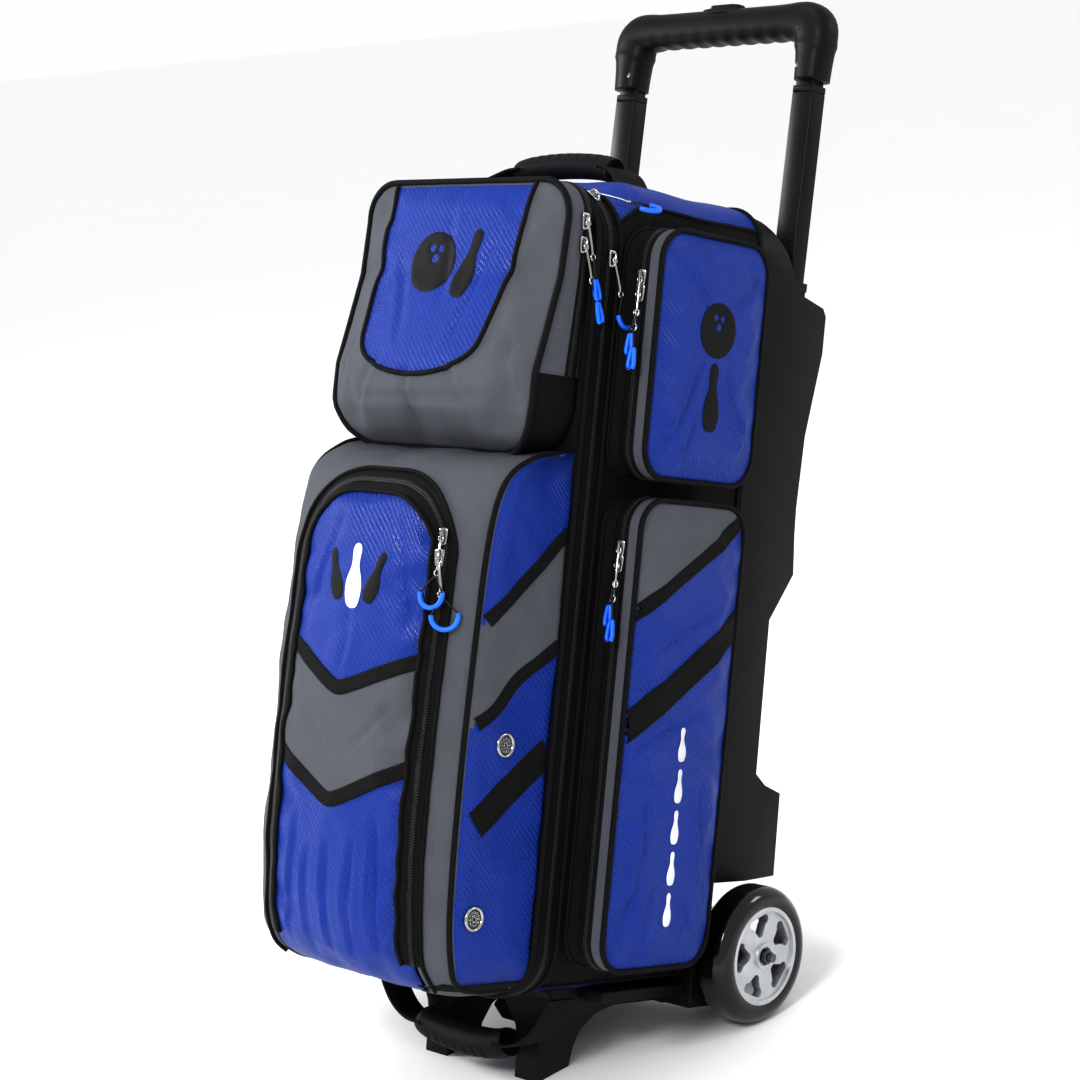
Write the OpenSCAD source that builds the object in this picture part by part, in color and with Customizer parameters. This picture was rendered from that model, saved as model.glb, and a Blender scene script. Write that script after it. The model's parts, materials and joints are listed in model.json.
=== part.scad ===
// Rolling three-ball bag: soft body on a plastic back shell, with two wheels,
// a front stand, a telescopic handle, a zipped lid and six zipped pockets.
// The bag is drawn upright with z up along its own axis, x across and y to the
// back, then leaned back as a whole onto its wheels and stand.

/* [Body] */
// Width of the soft body
body_w = 258; // [250:1:262]
// Height of the soft body's front outline
body_h = 699; // [690:1:710]
// Rise of the crown behind the front outline
crown_rise = 13; // [8:1:15]
// Depth from the main zip to the back panel
body_d = 205; // [203:1:207]
// Corner radius of the front outline
body_r = 50; // [40:1:60]
// Thickness of the padded walls
wall = 4; // [3:0.5:5]

/* [Lid] */
// Depth of the lid in front of the main zip
lid_d = 15; // [13:1:17]
// Half width of the top front pocket
top_half_w = 121; // [112:1:122]
// Half width of the lower front pocket
low_half_w = 125; // [120:1:126]
// Half width of the zipped panel of the lower front pocket
panel_half_w = 85; // [78:1:88]

/* [Side pockets] */
// How far each side pocket stands out
side_out = 43; // [38:1:46]
// Distance from the body at which the pocket is zipped
side_split = 23; // [18:1:28]

/* [Stance] */
// Angle at which the bag leans back
lean = 16; // [15:0.5:17]

/* [Wheels] */
// Wheel radius
wheel_r = 63.5; // [62:0.5:64]
// Rim radius
rim_r = 45.4; // [43:0.1:48]
// Wheel width
wheel_w = 38; // [34:1:38]
// Windows in each rim
window_count = 5; // [4:1:6]

/* [Handle] */
// Outer tube size across the bag
tube_w = 24; // [22:1:24]
// Outer tube size from front to back
tube_d = 20; // [18:1:20]
// Length of the outer tubes
outer_len = 300; // [290:5:300]
// Half the distance between the tubes
tube_x = 110; // [109:0.5:110.5]

/* [Hidden] */
$fn = 48;

half_w = body_w / 2;
top_z = body_h + crown_rise;
gap = 0.4;
zip_d = 12;
skin = 3;
shell_y = body_d + skin;

// Axle and stance
axle_y = 258;
axle_z = 32;
axle_r = 4;
wheel_in = 131.8;
rim_out = wheel_in + wheel_w - 1;
rim_wall = 4;
tyre_round = 13;
window_in = 23;
window_out = 34;
window_r = 4.6;
lift = wheel_r + axle_y * sin(lean) - axle_z * cos(lean);
frame_shift = -212.12;

// Handle: its own line leans a little more than the bag
handle_y = 278;
handle_z = 833;
handle_lean = 1.91;
sleeve_foot = -474;
sleeve_top = -186;
sleeve_wall = 1.2;
tube_wall = 1.5;
inner_w = tube_w - 2 * tube_wall - 0.6;
inner_d = tube_d - 2 * tube_wall - 0.6;
inner_foot = -285;
leg_foot = 12;
bar_z = 66;
bar_r = 17;
bar_half = 134;
button_len = 37;
button_w = 17;
button_top = 21;
// Sunk floor of the grip's screw holes, in front of the tubes
grip_screw_y = -13.4;
grip_screw_r = 2.6;

// Side pockets: [front y, back y, bottom z, top z]
upper_box = [19, 165, 457, 671];
lower_box = [24, 165, 32, 440];
side_r = 28;

// Outlines of the front pockets seen from the side, [y, z], outside then inside
top_side = [[-15, 476], [-15, 700], [-40, 703], [-52, 697], [-62, 660], [-80, 590],
    [-95, 530], [-97, 505], [-88, 485], [-60, 476]];
top_side_in = [[-12, 480], [-12, 696.5], [-39, 699.5], [-49.5, 694], [-59, 659], [-77, 589],
    [-92, 530], [-93.5, 506], [-86, 488.5], [-60, 479.5]];
low_side = [[-15, 2], [-15, 472], [-60, 468], [-100, 455], [-122, 436], [-130, 395],
    [-134, 300], [-138, 200], [-137, 100], [-128, 45], [-100, 12], [-60, 2]];
low_side_in = [[-12, 6], [-12, 468.5], [-60, 464.5], [-98, 452], [-119.5, 434], [-127, 394],
    [-131, 300], [-135, 200], [-134, 100], [-125.5, 47], [-98, 15.5], [-60, 6]];

// Front pockets: where the covers split from their bases and fold
top_split_y = -38;
top_split_z = 520;
panel_low = 24;
panel_high = 439;
panel_r = 58;
fold_gap = 2;

// Back shell outline seen from the side, [y, z]
tower_out = [[shell_y, 95], [shell_y, 646], [268, 643], [305, 634], [310, 627], [310, 592],
    [295, 513], [292, 445], [293, 422], [297, 383], [287, 368], [267, 339], [269, 195],
    [284, 184], [308, 176], [310, 98], [267, 95]];
tower_in = [[shell_y + 3, 98], [shell_y + 3, 641], [268, 639.5], [303, 630.5], [307, 625],
    [307, 592], [292, 513], [289, 445], [290, 422], [293.5, 384], [284.5, 370], [264, 340],
    [266, 193], [283, 181], [305, 173.5], [307, 101], [267, 98]];
hood_out = [[shell_y, 640], [shell_y, 711], [224, 704], [233, 695], [244, 680], [256, 660], [268, 643],
    [268, 640]];
hood_in = [[shell_y + 4, 630], [shell_y + 4, 706], [222.6, 701], [230.6, 693], [241.4, 678.2],
    [253.4, 658.4], [265, 641.3], [265, 630]];
hood_back = 270;
hood_foot = 500;
hood_r = 46;
tower_x = 93;
shell_half = 130;
// Screws in the shell's back, [outer face y, z], with their heads sunk in it
shell_screw_at = [[309.2, 130], [293.1, 470], [310, 600]];
screw_sink = 2;
screw_r = 4.5;

// Grab handles: [y, z] of each padded grip's middle
top_grip_at = [76, 733];
top_grip_half = 56;
low_grip_at = [48, -57];
low_grip_half = 53;
strap_half = 17;

// Compartment: three bays, one ball each
divider_t = 8;
bay_h = (top_z - 2 * wall - 2 * divider_t) / 3;

module bag() translate([0, frame_shift, lift]) rotate([-lean, 0, 0]) children();
module handle_line() bag() translate([0, handle_y, handle_z]) rotate([-handle_lean, 0, 0]) children();
module both() {
    children();
    mirror([1, 0, 0]) children();
}
module on_side(s) mirror([s < 0 ? 1 : 0, 0, 0]) children();

// Flat rounded rectangle between two corners
module rrect(x0, y0, x1, y1, r) {
    translate([x0 + r, y0]) square([x1 - x0 - 2 * r, y1 - y0]);
    translate([x0, y0 + r]) square([x1 - x0, y1 - y0 - 2 * r]);
    for (x = [x0 + r, x1 - r], y = [y0 + r, y1 - r]) translate([x, y]) circle(r);
}
module rring(x0, y0, x1, y1, r, t) difference() {
    rrect(x0, y0, x1, y1, r);
    rrect(x0 + t, y0 + t, x1 - t, y1 - t, r - t);
}
// Stands a flat x-z outline up and runs it from y0 to y1
module along_y(y0, y1) translate([0, y1, 0]) rotate([90, 0, 0]) linear_extrude(y1 - y0) children();
// Stands a flat y-z outline up and runs it from x0 to x1
module along_x(x0, x1) translate([x0, 0, 0]) rotate([90, 0, 90]) linear_extrude(x1 - x0) children();
module block(lo, hi) translate(lo) cube(hi - lo);
module bar(w, d, z0, z1) translate([-w / 2, -d / 2, z0]) cube([w, d, z1 - z0]);

// ---- Back shell and handle housing ----
// The hood closes the shell's top behind the crown, with the body's rounded corners
module hood(outline, half, top, r) intersection() {
    along_x(-half, half) polygon(outline);
    along_y(shell_y, hood_back) rrect(-half, hood_foot, half, top, r);
}

module back_shell() color("#1b1b1d") bag() difference() {
    union() {
        both() difference() {
            along_x(tower_x, shell_half) polygon(tower_out);
            along_x(tower_x + skin, shell_half - skin) polygon(tower_in);
        }
        difference() {
            hood(hood_out, shell_half, top_z + 1, hood_r);
            hood(hood_in, shell_half - skin, top_z + 1 - skin, hood_r - skin);
        }
        block([-tower_x, shell_y, -22], [tower_x, shell_y + 4, 700]);
        for (x = [-60, -20, 20, 60]) block([x - 4, shell_y + 4, 70], [x + 4, shell_y + 13, 640]);
        for (z = [210, 420, 620]) block([-tower_x, shell_y + 4, z - 4], [tower_x, shell_y + 11, z + 4]);
    }
    translate([0, handle_y, handle_z]) rotate([-handle_lean, 0, 0]) both()
        translate([tube_x, 0, 0]) {
            bar(tube_w + 3, tube_d + 3, -300, 60);
            bar(tube_w + 3, tube_d + 9, sleeve_top, 60);
        }
    at_shell_screws() cylinder(r = screw_r + gap, h = 6);
}

module at_shell_screws() both() for (s = shell_screw_at)
    translate([tube_x + 1, s[0] - screw_sink, s[1]]) rotate([-90, 0, 0]) children();
module shell_screws() color("#8c9094") bag() at_shell_screws() cylinder(r = screw_r, h = screw_sink - gap);

module handle_sleeves() color("#3a3c40") handle_line() both() translate([tube_x, 0, 0]) difference() {
    bar(tube_w + 3, tube_d + 3, sleeve_foot, sleeve_top);
    bar(tube_w + 3 - 2 * sleeve_wall, tube_d + 3 - 2 * sleeve_wall, sleeve_foot - 1, sleeve_top + 1);
}

module sleeve_collars() color("#151517") handle_line() both() translate([tube_x, 0, 0]) difference() {
    bar(tube_w + 3, tube_d + 8, sleeve_top, sleeve_top + 8);
    bar(tube_w + 0.6, tube_d + 0.6, sleeve_top - 1, sleeve_top + 9);
}

// ---- Telescopic handle ----
module outer_tube(s) color("#1d1d1f") handle_line() on_side(s) translate([tube_x, 0, 0]) difference() {
    bar(tube_w, tube_d, -outer_len, 0);
    bar(tube_w - 2 * tube_wall, tube_d - 2 * tube_wall, -outer_len - 1, 1);
}
module outer_tube_left() outer_tube(-1);
module outer_tube_right() outer_tube(1);

module outer_tube_caps() color("#101012") handle_line() both() translate([tube_x, 0, 0]) difference() {
    bar(tube_w, tube_d, 0, 6);
    bar(inner_w + 0.8, inner_d + 0.8, -1, 7);
}

module inner_tube(s) color("#232326") handle_line() on_side(s) translate([tube_x, 0, 0]) difference() {
    bar(inner_w, inner_d, inner_foot, leg_foot + 26);
    bar(inner_w - 2.4, inner_d - 2.4, inner_foot - 1, leg_foot + 27);
}
module inner_tube_left() inner_tube(-1);
module inner_tube_right() inner_tube(1);

module stadium(l, w) {
    square([l - w, w], center = true);
    for (x = [-1, 1]) translate([x * (l - w) / 2, 0]) circle(w / 2);
}

module grip() color("#19191b") handle_line() difference() {
    union() {
        translate([-tube_x, 0, bar_z]) rotate([0, 90, 0]) cylinder(r = bar_r, h = 2 * tube_x);
        both() translate([tube_x, 0, bar_z]) {
            sphere(r = bar_r);
            translate([0, 0, -bar_z + leg_foot]) cylinder(r = 16.5, h = bar_z - leg_foot);
        }
        both() translate([tube_x, 0, bar_z]) rotate([0, 90, 0]) cylinder(r = bar_r, h = bar_half - tube_x - 8);
        both() translate([bar_half - 8, 0, bar_z]) rotate([0, 90, 0]) cylinder(r1 = bar_r, r2 = bar_r - 7, h = 8);
        translate([0, 0, bar_z + 12]) linear_extrude(7) stadium(button_len + 12, button_w + 8);
    }
    both() translate([tube_x, 0, 0]) bar(inner_w, inner_d, leg_foot - 1, leg_foot + 26);
    translate([0, 0, bar_z + 8]) linear_extrude(20) stadium(button_len + 0.8, button_w + 0.8);
    at_grip_screws() cylinder(r = grip_screw_r + gap, h = 6);
}

module at_grip_screws() both() for (s = [-1, 1])
    translate([tube_x + 5.5 * s, grip_screw_y, 24]) rotate([90, 0, 0]) children();
module grip_screws() color("#5c5f63") handle_line() at_grip_screws() cylinder(r = grip_screw_r, h = 2);

module grip_button() color("#0f0f11") handle_line() translate([0, 0, bar_z + 12.6])
    linear_extrude(button_top - 10.6) stadium(button_len, button_w);

// ---- Wheels ----
module at_wheel(s) bag() on_side(s) translate([wheel_in, axle_y, axle_z]) rotate([0, 90, 0]) children();

// A window between two spokes: wide at the rim, rounded at its corners
module rim_window() {
    for (a = [-15, 15]) rotate(a) translate([window_out, 0]) circle(window_r);
    translate([window_in, 0]) circle(window_r);
    polygon([[window_in - 1, -window_r], [window_out * cos(15) + 1.5, -window_out * sin(15) - window_r + 0.4],
        [window_out * cos(15) + window_r, -window_out * sin(15) + 0.6], [window_out + window_r - 1, 0],
        [window_out * cos(15) + window_r, window_out * sin(15) - 0.6],
        [window_out * cos(15) + 1.5, window_out * sin(15) + window_r - 0.4], [window_in - 1, window_r]]);
}

module rim(s) color("#c9cbcd") at_wheel(s) difference() {
    union() {
        difference() {
            cylinder(r = rim_r, h = wheel_w - 1);
            translate([0, 0, -1]) cylinder(r = rim_r - rim_wall, h = wheel_w + 2);
        }
        cylinder(r = 12, h = wheel_w - 1);
        translate([0, 0, wheel_w - 13]) cylinder(r = rim_r - rim_wall, h = 9);
    }
    for (i = [0:window_count - 1]) rotate(i * 360 / window_count + 54)
        translate([0, 0, wheel_w - 14]) linear_extrude(12) rim_window();
    translate([0, 0, -1]) cylinder(r = axle_r + 0.05, h = wheel_w + 2);
    translate([0, 0, wheel_w - 5]) cylinder(r = 8.5, h = 6);
}
module rim_left() rim(-1);
module rim_right() rim(1);

module tyre(s) color("#111113") at_wheel(s) difference() {
    rotate_extrude($fn = 96) {
        translate([wheel_r - tyre_round, tyre_round]) square([tyre_round, wheel_w - 2 * tyre_round]);
        for (z = [tyre_round, wheel_w - tyre_round]) translate([wheel_r - tyre_round, z]) circle(tyre_round);
    }
    translate([0, 0, -1]) cylinder(r = rim_r, h = wheel_w + 2);
}
module tyre_left() tyre(-1);
module tyre_right() tyre(1);

module axle() color("#b4b7ba") bag() translate([-178, axle_y, axle_z]) rotate([0, 90, 0])
    cylinder(r = axle_r, h = 356);

module axle_housing() color("#1b1b1d") bag() difference() {
    block([-122, shell_y + 4, -22], [122, axle_y + 24, 62]);
    translate([-130, axle_y, axle_z]) rotate([0, 90, 0]) cylinder(r = axle_r, h = 260);
    block([-88, axle_y - 18, -30], [88, axle_y + 30, 8]);
    for (x = [-112, -56, 8, 64]) block([x, shell_y + 12, 46], [x + 44, axle_y + 16, 70]);
}

module axle_washers() color("#9a9da0") for (s = [-1, 1]) at_wheel(s)
    translate([0, 0, 122 - wheel_in]) difference() {
        cylinder(r = 9, h = wheel_in - 122 - gap);
        translate([0, 0, -1]) cylinder(r = axle_r, h = 20);
    }

module axle_nuts() color("#2a2b2e") bag() both()
    translate([rim_out - 4 + gap, axle_y, axle_z]) rotate([0, 90, 0]) difference() {
        cylinder(r = 7, h = 8, $fn = 6);
        translate([0, 0, -1]) cylinder(r = axle_r, h = 12);
    }

// ---- Stand ----
leg_side = [[52, 0], [60, -10], [68, -40], [70, -100], [106, -100], [114, -60], [122, -42],
    [136, -28], [152, -22], [208, -22], [208, 0]];
leg_front = [[43, -100], [71, -100], [71, -50], [76, -30], [88, -14], [88, 0], [18, 0],
    [20, -12], [30, -22], [40, -42], [43, -60]];

module stand_leg(s) color("#1b1b1d") difference() {
    bag() on_side(s) intersection() {
        along_x(10, 92) polygon(leg_side);
        along_y(50, 212) polygon(leg_front);
    }
    translate([-300, -300, -60]) cube([600, 600, 60]);
}
module stand_leg_left() stand_leg(-1);
module stand_leg_right() stand_leg(1);

module stand_plate() color("#1b1b1d") bag() {
    block([-17.9, 60, -12], [17.9, 208, 0]);
    both() block([88, 96, -10], [116, 208, 0]);
}

module stand_brace() color("#18181a") bag() along_y(124, 150)
    polygon([[-17.5, -12.2], [-19, -24], [-30, -26], [-42, -44], [-30, -54], [30, -54], [42, -44],
        [30, -26], [19, -24], [17.5, -12.2]]);

module stand_screws() color("#8c9094") bag() both()
    for (y = [165, 195]) translate([57, y, -24]) cylinder(r = 4, h = 2);

// ---- Soft body ----
module body_wall() color("#2448b4") bag() along_y(zip_d, body_d) difference() {
    union() {
        rrect(-half_w, 0, half_w, body_h, body_r);
        rrect(-half_w + 6, 20, half_w - 6, top_z, body_r - 6);
    }
    rrect(-half_w + wall, wall, half_w - wall, body_h - wall, body_r - wall);
    rrect(-half_w + 6 + wall, 20 + wall, half_w - 6 - wall, top_z - wall, body_r - 6 - wall);
}

module body_back_panel() color("#222224") bag() along_y(body_d, shell_y)
    rrect(-half_w, 0, half_w, body_h, body_r);

module main_zip() color("#141416") bag() along_y(gap, zip_d)
    rring(-half_w, 0, half_w, body_h, body_r, 5);

module ball_dividers() color("#3b3e44") bag()
    for (i = [1, 2]) block([-half_w + wall, 30, wall + i * bay_h + (i - 1) * divider_t],
        [half_w - wall, body_d, wall + i * (bay_h + divider_t)]);

module ball_cups() color("#2c2e33") bag()
    for (i = [0:2]) translate([0, body_d, wall + bay_h / 2 + i * (bay_h + divider_t)])
        rotate([90, 0, 0]) difference() {
            cylinder(r = 92, h = 15);
            translate([0, 0, -1]) cylinder(r1 = 38, r2 = 66, h = 17);
        }

module strap_pair(out) both() along_y(-strap_half, strap_half) polygon(out);

module grip_roll(half, at, r) bag() translate([-half, at[0], at[1]]) rotate([0, 90, 0])
    cylinder(r = r, h = 2 * half);

module top_handle_grip() color("#141416") grip_roll(top_grip_half, top_grip_at, 11);
module top_handle_webbing() color("#1a1a1c") bag() translate([0, top_grip_at[0] - 5, 0])
    strap_pair([[top_grip_half, 729], [top_grip_half, 737], [70, 737], [90, 724], [103, 711.5],
        [115.6, 698.6], [113.2, 696.6], [101.6, 707.5], [88, 718], [68, 729]]);

module bottom_handle_grip() color("#141416") grip_roll(low_grip_half, low_grip_at, 14);
module bottom_handle_webbing() color("#1a1a1c") bag() translate([0, low_grip_at[0], 0])
    strap_pair([[low_grip_half, -53], [low_grip_half, -62], [68, -62], [88, -50], [106, -26], [112, 0],
        [108, 0], [101, -24], [84, -46], [67, -55]]);

// ---- Side pockets ----
module pocket_outline(b) rrect(b[0], b[2], b[1], b[3], side_r);
module pocket_hollow(b) rrect(b[0] + skin, b[2] + skin, b[1] - skin, b[3] - skin, side_r - skin);

module pocket_base(s, b) bag() on_side(s) along_x(half_w, half_w + side_split - gap) difference() {
    pocket_outline(b);
    pocket_hollow(b);
}
module pocket_cover(s, b) bag() on_side(s) difference() {
    along_x(half_w + side_split, half_w + side_out) pocket_outline(b);
    along_x(half_w + side_split - 1, half_w + side_out - skin) pocket_hollow(b);
}
module upper_pocket_base_left() color("#55585c") pocket_base(-1, upper_box);
module upper_pocket_base_right() color("#55585c") pocket_base(1, upper_box);
module lower_pocket_base_left() color("#55585c") pocket_base(-1, lower_box);
module lower_pocket_base_right() color("#55585c") pocket_base(1, lower_box);
module upper_pocket_cover_left() color("#2448b4") pocket_cover(-1, upper_box);
module upper_pocket_cover_right() color("#2448b4") pocket_cover(1, upper_box);
module lower_pocket_cover_left() color("#2448b4") pocket_cover(-1, lower_box);
module lower_pocket_cover_right() color("#2448b4") pocket_cover(1, lower_box);

// ---- Lid and front pockets ----
module lid_panel() color("#1c1c1e") bag() {
    along_y(-lid_d + skin, -gap) rring(-half_w, 0, half_w, body_h, body_r, wall);
    along_y(-lid_d, -lid_d + skin) rrect(-half_w, 0, half_w, body_h, body_r);
}

// Plan outline of a front pocket: straight sides, then a crowned face
module crowned(w, side, front) polygon([[-w, -10], [-w, side], [-w + 9, side - (side - front) * 0.42],
    [-w * 0.76, side - (side - front) * 0.72], [-w * 0.4, front + 1.5], [0, front - 2], [w * 0.4, front + 1.5],
    [w * 0.76, side - (side - front) * 0.72], [w - 9, side - (side - front) * 0.42], [w, side], [w, -10]]);

module front_shell(outer, inner, w, side, front) difference() {
    intersection() {
        along_x(-w, w) polygon(outer);
        linear_extrude(720) crowned(w, side, front);
    }
    intersection() {
        along_x(-w + skin, w - skin) polygon(inner);
        linear_extrude(720) crowned(w - skin, side + 1, front + skin);
    }
}
module top_shell() front_shell(top_side, top_side_in, top_half_w, -56, -97);
module low_shell() front_shell(low_side, low_side_in, low_half_w, -104, -139);

module top_front_base() color("#55585c") bag() difference() {
    top_shell();
    block([-140, -120, top_split_z - gap], [140, top_split_y, 720]);
}
module top_front_cover() color("#2448b4") bag() intersection() {
    top_shell();
    block([-140, -120, top_split_z], [140, top_split_y - gap, 720]);
}
// The panel keeps clear of the fold at its foot, where it turns about the outer face
module panel_outline(g, foot) rrect(-panel_half_w - g, foot, panel_half_w + g, panel_high + g, panel_r + g);
module low_front_base() color("#55585c") bag() difference() {
    low_shell();
    along_y(-160, -95) panel_outline(gap, panel_low - gap);
}
module low_front_cover() color("#2448b4") bag() intersection() {
    low_shell();
    along_y(-160, -95) panel_outline(0, panel_low + fold_gap);
}
module vent_grommets() color("#b9bbbe") bag() both()
    for (v = [[-68, 223], [-88, 78]]) translate([low_half_w, v[0], v[1]]) rotate([0, 90, 0]) difference() {
        cylinder(r = 10.5, h = 1.6);
        for (a = [0:60:300]) rotate(a) translate([5, 0, -1]) cylinder(r = 1.3, h = 4);
    }

// ---- Zip sliders: each rides just proud of its zip ----
module slider(at) bag() translate(at) block([0, -4.5, -7], [4, 4.5, 7]);
module main_slider_upper() color("#b9bbbe") bag()
    translate([70, 0, body_h + gap]) block([-7, -4.5, 0], [7, 4.5, 4]);
module main_slider_lower() color("#b9bbbe") slider([half_w + gap, 0, 636]);
module top_front_slider_upper() color("#b9bbbe") slider([top_half_w + gap, top_split_y + 2, 660]);
module top_front_slider_lower() color("#b9bbbe") slider([top_half_w + gap, top_split_y + 2, 640]);

// The lower front zip's sliders lie on the panel's right-hand edge
module face_slider(z) color("#b9bbbe") bag() translate([panel_half_w, -132.3, z])
    block([-4.5, -4, -7], [4.5, 0, 7]);
module low_front_slider_upper() face_slider(352);
module low_front_slider_lower() face_slider(334);

module pocket_slider(s, b) color("#b9bbbe") bag() on_side(s)
    block([half_w + side_split - 5, b[0] - 4 - gap, b[3] - 52], [half_w + side_split + 4, b[0] - gap, b[3] - 38]);
module upper_pocket_slider_left() pocket_slider(-1, upper_box);
module upper_pocket_slider_right() pocket_slider(1, upper_box);
module lower_pocket_slider_left() pocket_slider(-1, lower_box);
module lower_pocket_slider_right() pocket_slider(1, lower_box);

back_shell();
shell_screws();
handle_sleeves();
sleeve_collars();
stand_leg_left();
stand_leg_right();
stand_plate();
stand_brace();
stand_screws();
axle_housing();
axle();
axle_washers();
axle_nuts();
body_wall();
body_back_panel();
main_zip();
ball_dividers();
ball_cups();
top_handle_grip();
top_handle_webbing();
bottom_handle_grip();
bottom_handle_webbing();
upper_pocket_base_left();
upper_pocket_base_right();
lower_pocket_base_left();
lower_pocket_base_right();
upper_pocket_cover_left();
upper_pocket_cover_right();
lower_pocket_cover_left();
lower_pocket_cover_right();
outer_tube_left();
outer_tube_right();
outer_tube_caps();
inner_tube_left();
inner_tube_right();
grip();
grip_screws();
grip_button();
rim_left();
rim_right();
tyre_left();
tyre_right();
lid_panel();
top_front_base();
top_front_cover();
low_front_base();
low_front_cover();
vent_grommets();
main_slider_upper();
main_slider_lower();
top_front_slider_upper();
top_front_slider_lower();
low_front_slider_upper();
low_front_slider_lower();
upper_pocket_slider_left();
upper_pocket_slider_right();
lower_pocket_slider_left();
lower_pocket_slider_right();
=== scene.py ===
"""Rolling three-ball bag: the looks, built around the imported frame.

Shapes are worked out in the bag's own frame, in millimetres: x to the right of someone who faces
the front, y to the back, z up along the bag. world() leans them back and turns them into metres.
"""
import json
import math

import bpy
import numpy as np
from mathutils import Matrix, Vector, noise
from mathutils.bvhtree import BVHTree
from mathutils.geometry import delaunay_2d_cdt

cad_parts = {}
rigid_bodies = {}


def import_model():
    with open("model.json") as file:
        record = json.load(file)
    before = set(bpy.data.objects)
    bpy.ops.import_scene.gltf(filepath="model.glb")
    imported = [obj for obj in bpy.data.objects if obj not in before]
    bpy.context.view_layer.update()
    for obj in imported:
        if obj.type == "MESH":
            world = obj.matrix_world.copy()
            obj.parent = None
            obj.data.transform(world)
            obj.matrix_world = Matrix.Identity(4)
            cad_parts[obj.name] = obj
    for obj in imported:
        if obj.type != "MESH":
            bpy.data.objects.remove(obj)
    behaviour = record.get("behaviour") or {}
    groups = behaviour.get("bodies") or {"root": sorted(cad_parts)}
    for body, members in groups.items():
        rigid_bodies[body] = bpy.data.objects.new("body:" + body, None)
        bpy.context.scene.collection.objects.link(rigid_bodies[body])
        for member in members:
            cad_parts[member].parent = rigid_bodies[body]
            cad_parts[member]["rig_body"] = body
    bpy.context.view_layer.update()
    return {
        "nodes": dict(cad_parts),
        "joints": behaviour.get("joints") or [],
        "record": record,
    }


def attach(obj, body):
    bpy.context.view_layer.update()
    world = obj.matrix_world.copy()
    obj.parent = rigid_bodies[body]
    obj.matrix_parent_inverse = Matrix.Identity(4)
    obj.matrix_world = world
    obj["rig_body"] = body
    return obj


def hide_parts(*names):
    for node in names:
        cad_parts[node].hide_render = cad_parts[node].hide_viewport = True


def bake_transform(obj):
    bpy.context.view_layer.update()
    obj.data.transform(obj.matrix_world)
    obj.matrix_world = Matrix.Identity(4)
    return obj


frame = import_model()

# ---------------------------------------------------------------- bag frame
MM = 0.001
JOINT = {j["name"]: j for j in frame["joints"]}
EX = Vector((1, 0, 0))
EZ = Vector(JOINT["upper_cover_right_swing"]["axis"]).normalized()
EY = EZ.cross(EX)
AXLE = np.array((0, 258, 32.0))
BASIS = np.array([EX, EY, EZ])
BASE = np.array(JOINT["wheel_right_spin"]["pos_m"]) * (0, 1, 1) - AXLE @ BASIS * MM
LEAN = math.atan2(EZ.y, EZ.z)
DOWN = np.array((0, math.sin(LEAN), -math.cos(LEAN)))


def world(p):
    return BASE + np.asarray(p, float) @ BASIS * MM


def bag(p):
    return (np.asarray(p, float) - BASE) @ BASIS.T / MM


# Main sizes, as in the CAD
HALF_W, BODY_H, BODY_D, CROWN = 129, 699, 205, 13
LID_D = 15
SIDE_OUT, SIDE_SPLIT = 172, 152
UPPER_BOX = (19, 165, 457, 671)
LOWER_BOX = (24, 165, 32, 440)
PIPING_R = 2.1

# ---------------------------------------------------------------- camera
CAMERA_AT = (1584.07, -1621.47, 424.22)
CAMERA_RIGHT = (0.7290, 0.6784, 0.0921)
CAMERA_BACK = (0.6803, -0.7327, 0.0129)
LENS, SENSOR = 85.07, 36.0


def make_camera():
    cam = bpy.data.objects.new("camera", bpy.data.cameras.new("camera"))
    bpy.context.scene.collection.objects.link(cam)
    right = Vector(np.array(CAMERA_RIGHT) @ BASIS).normalized()
    back = Vector(np.array(CAMERA_BACK) @ BASIS).normalized()
    up = back.cross(right).normalized()
    turn = Matrix((right, up, back)).transposed()
    cam.matrix_world = Matrix.Translation(Vector(world(CAMERA_AT))) @ turn.to_4x4()
    cam.data.lens, cam.data.sensor_width = LENS, SENSOR
    cam.data.clip_end = 50
    bpy.context.scene.camera = cam


make_camera()

# ---------------------------------------------------------------- materials
MATS = {}


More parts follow.
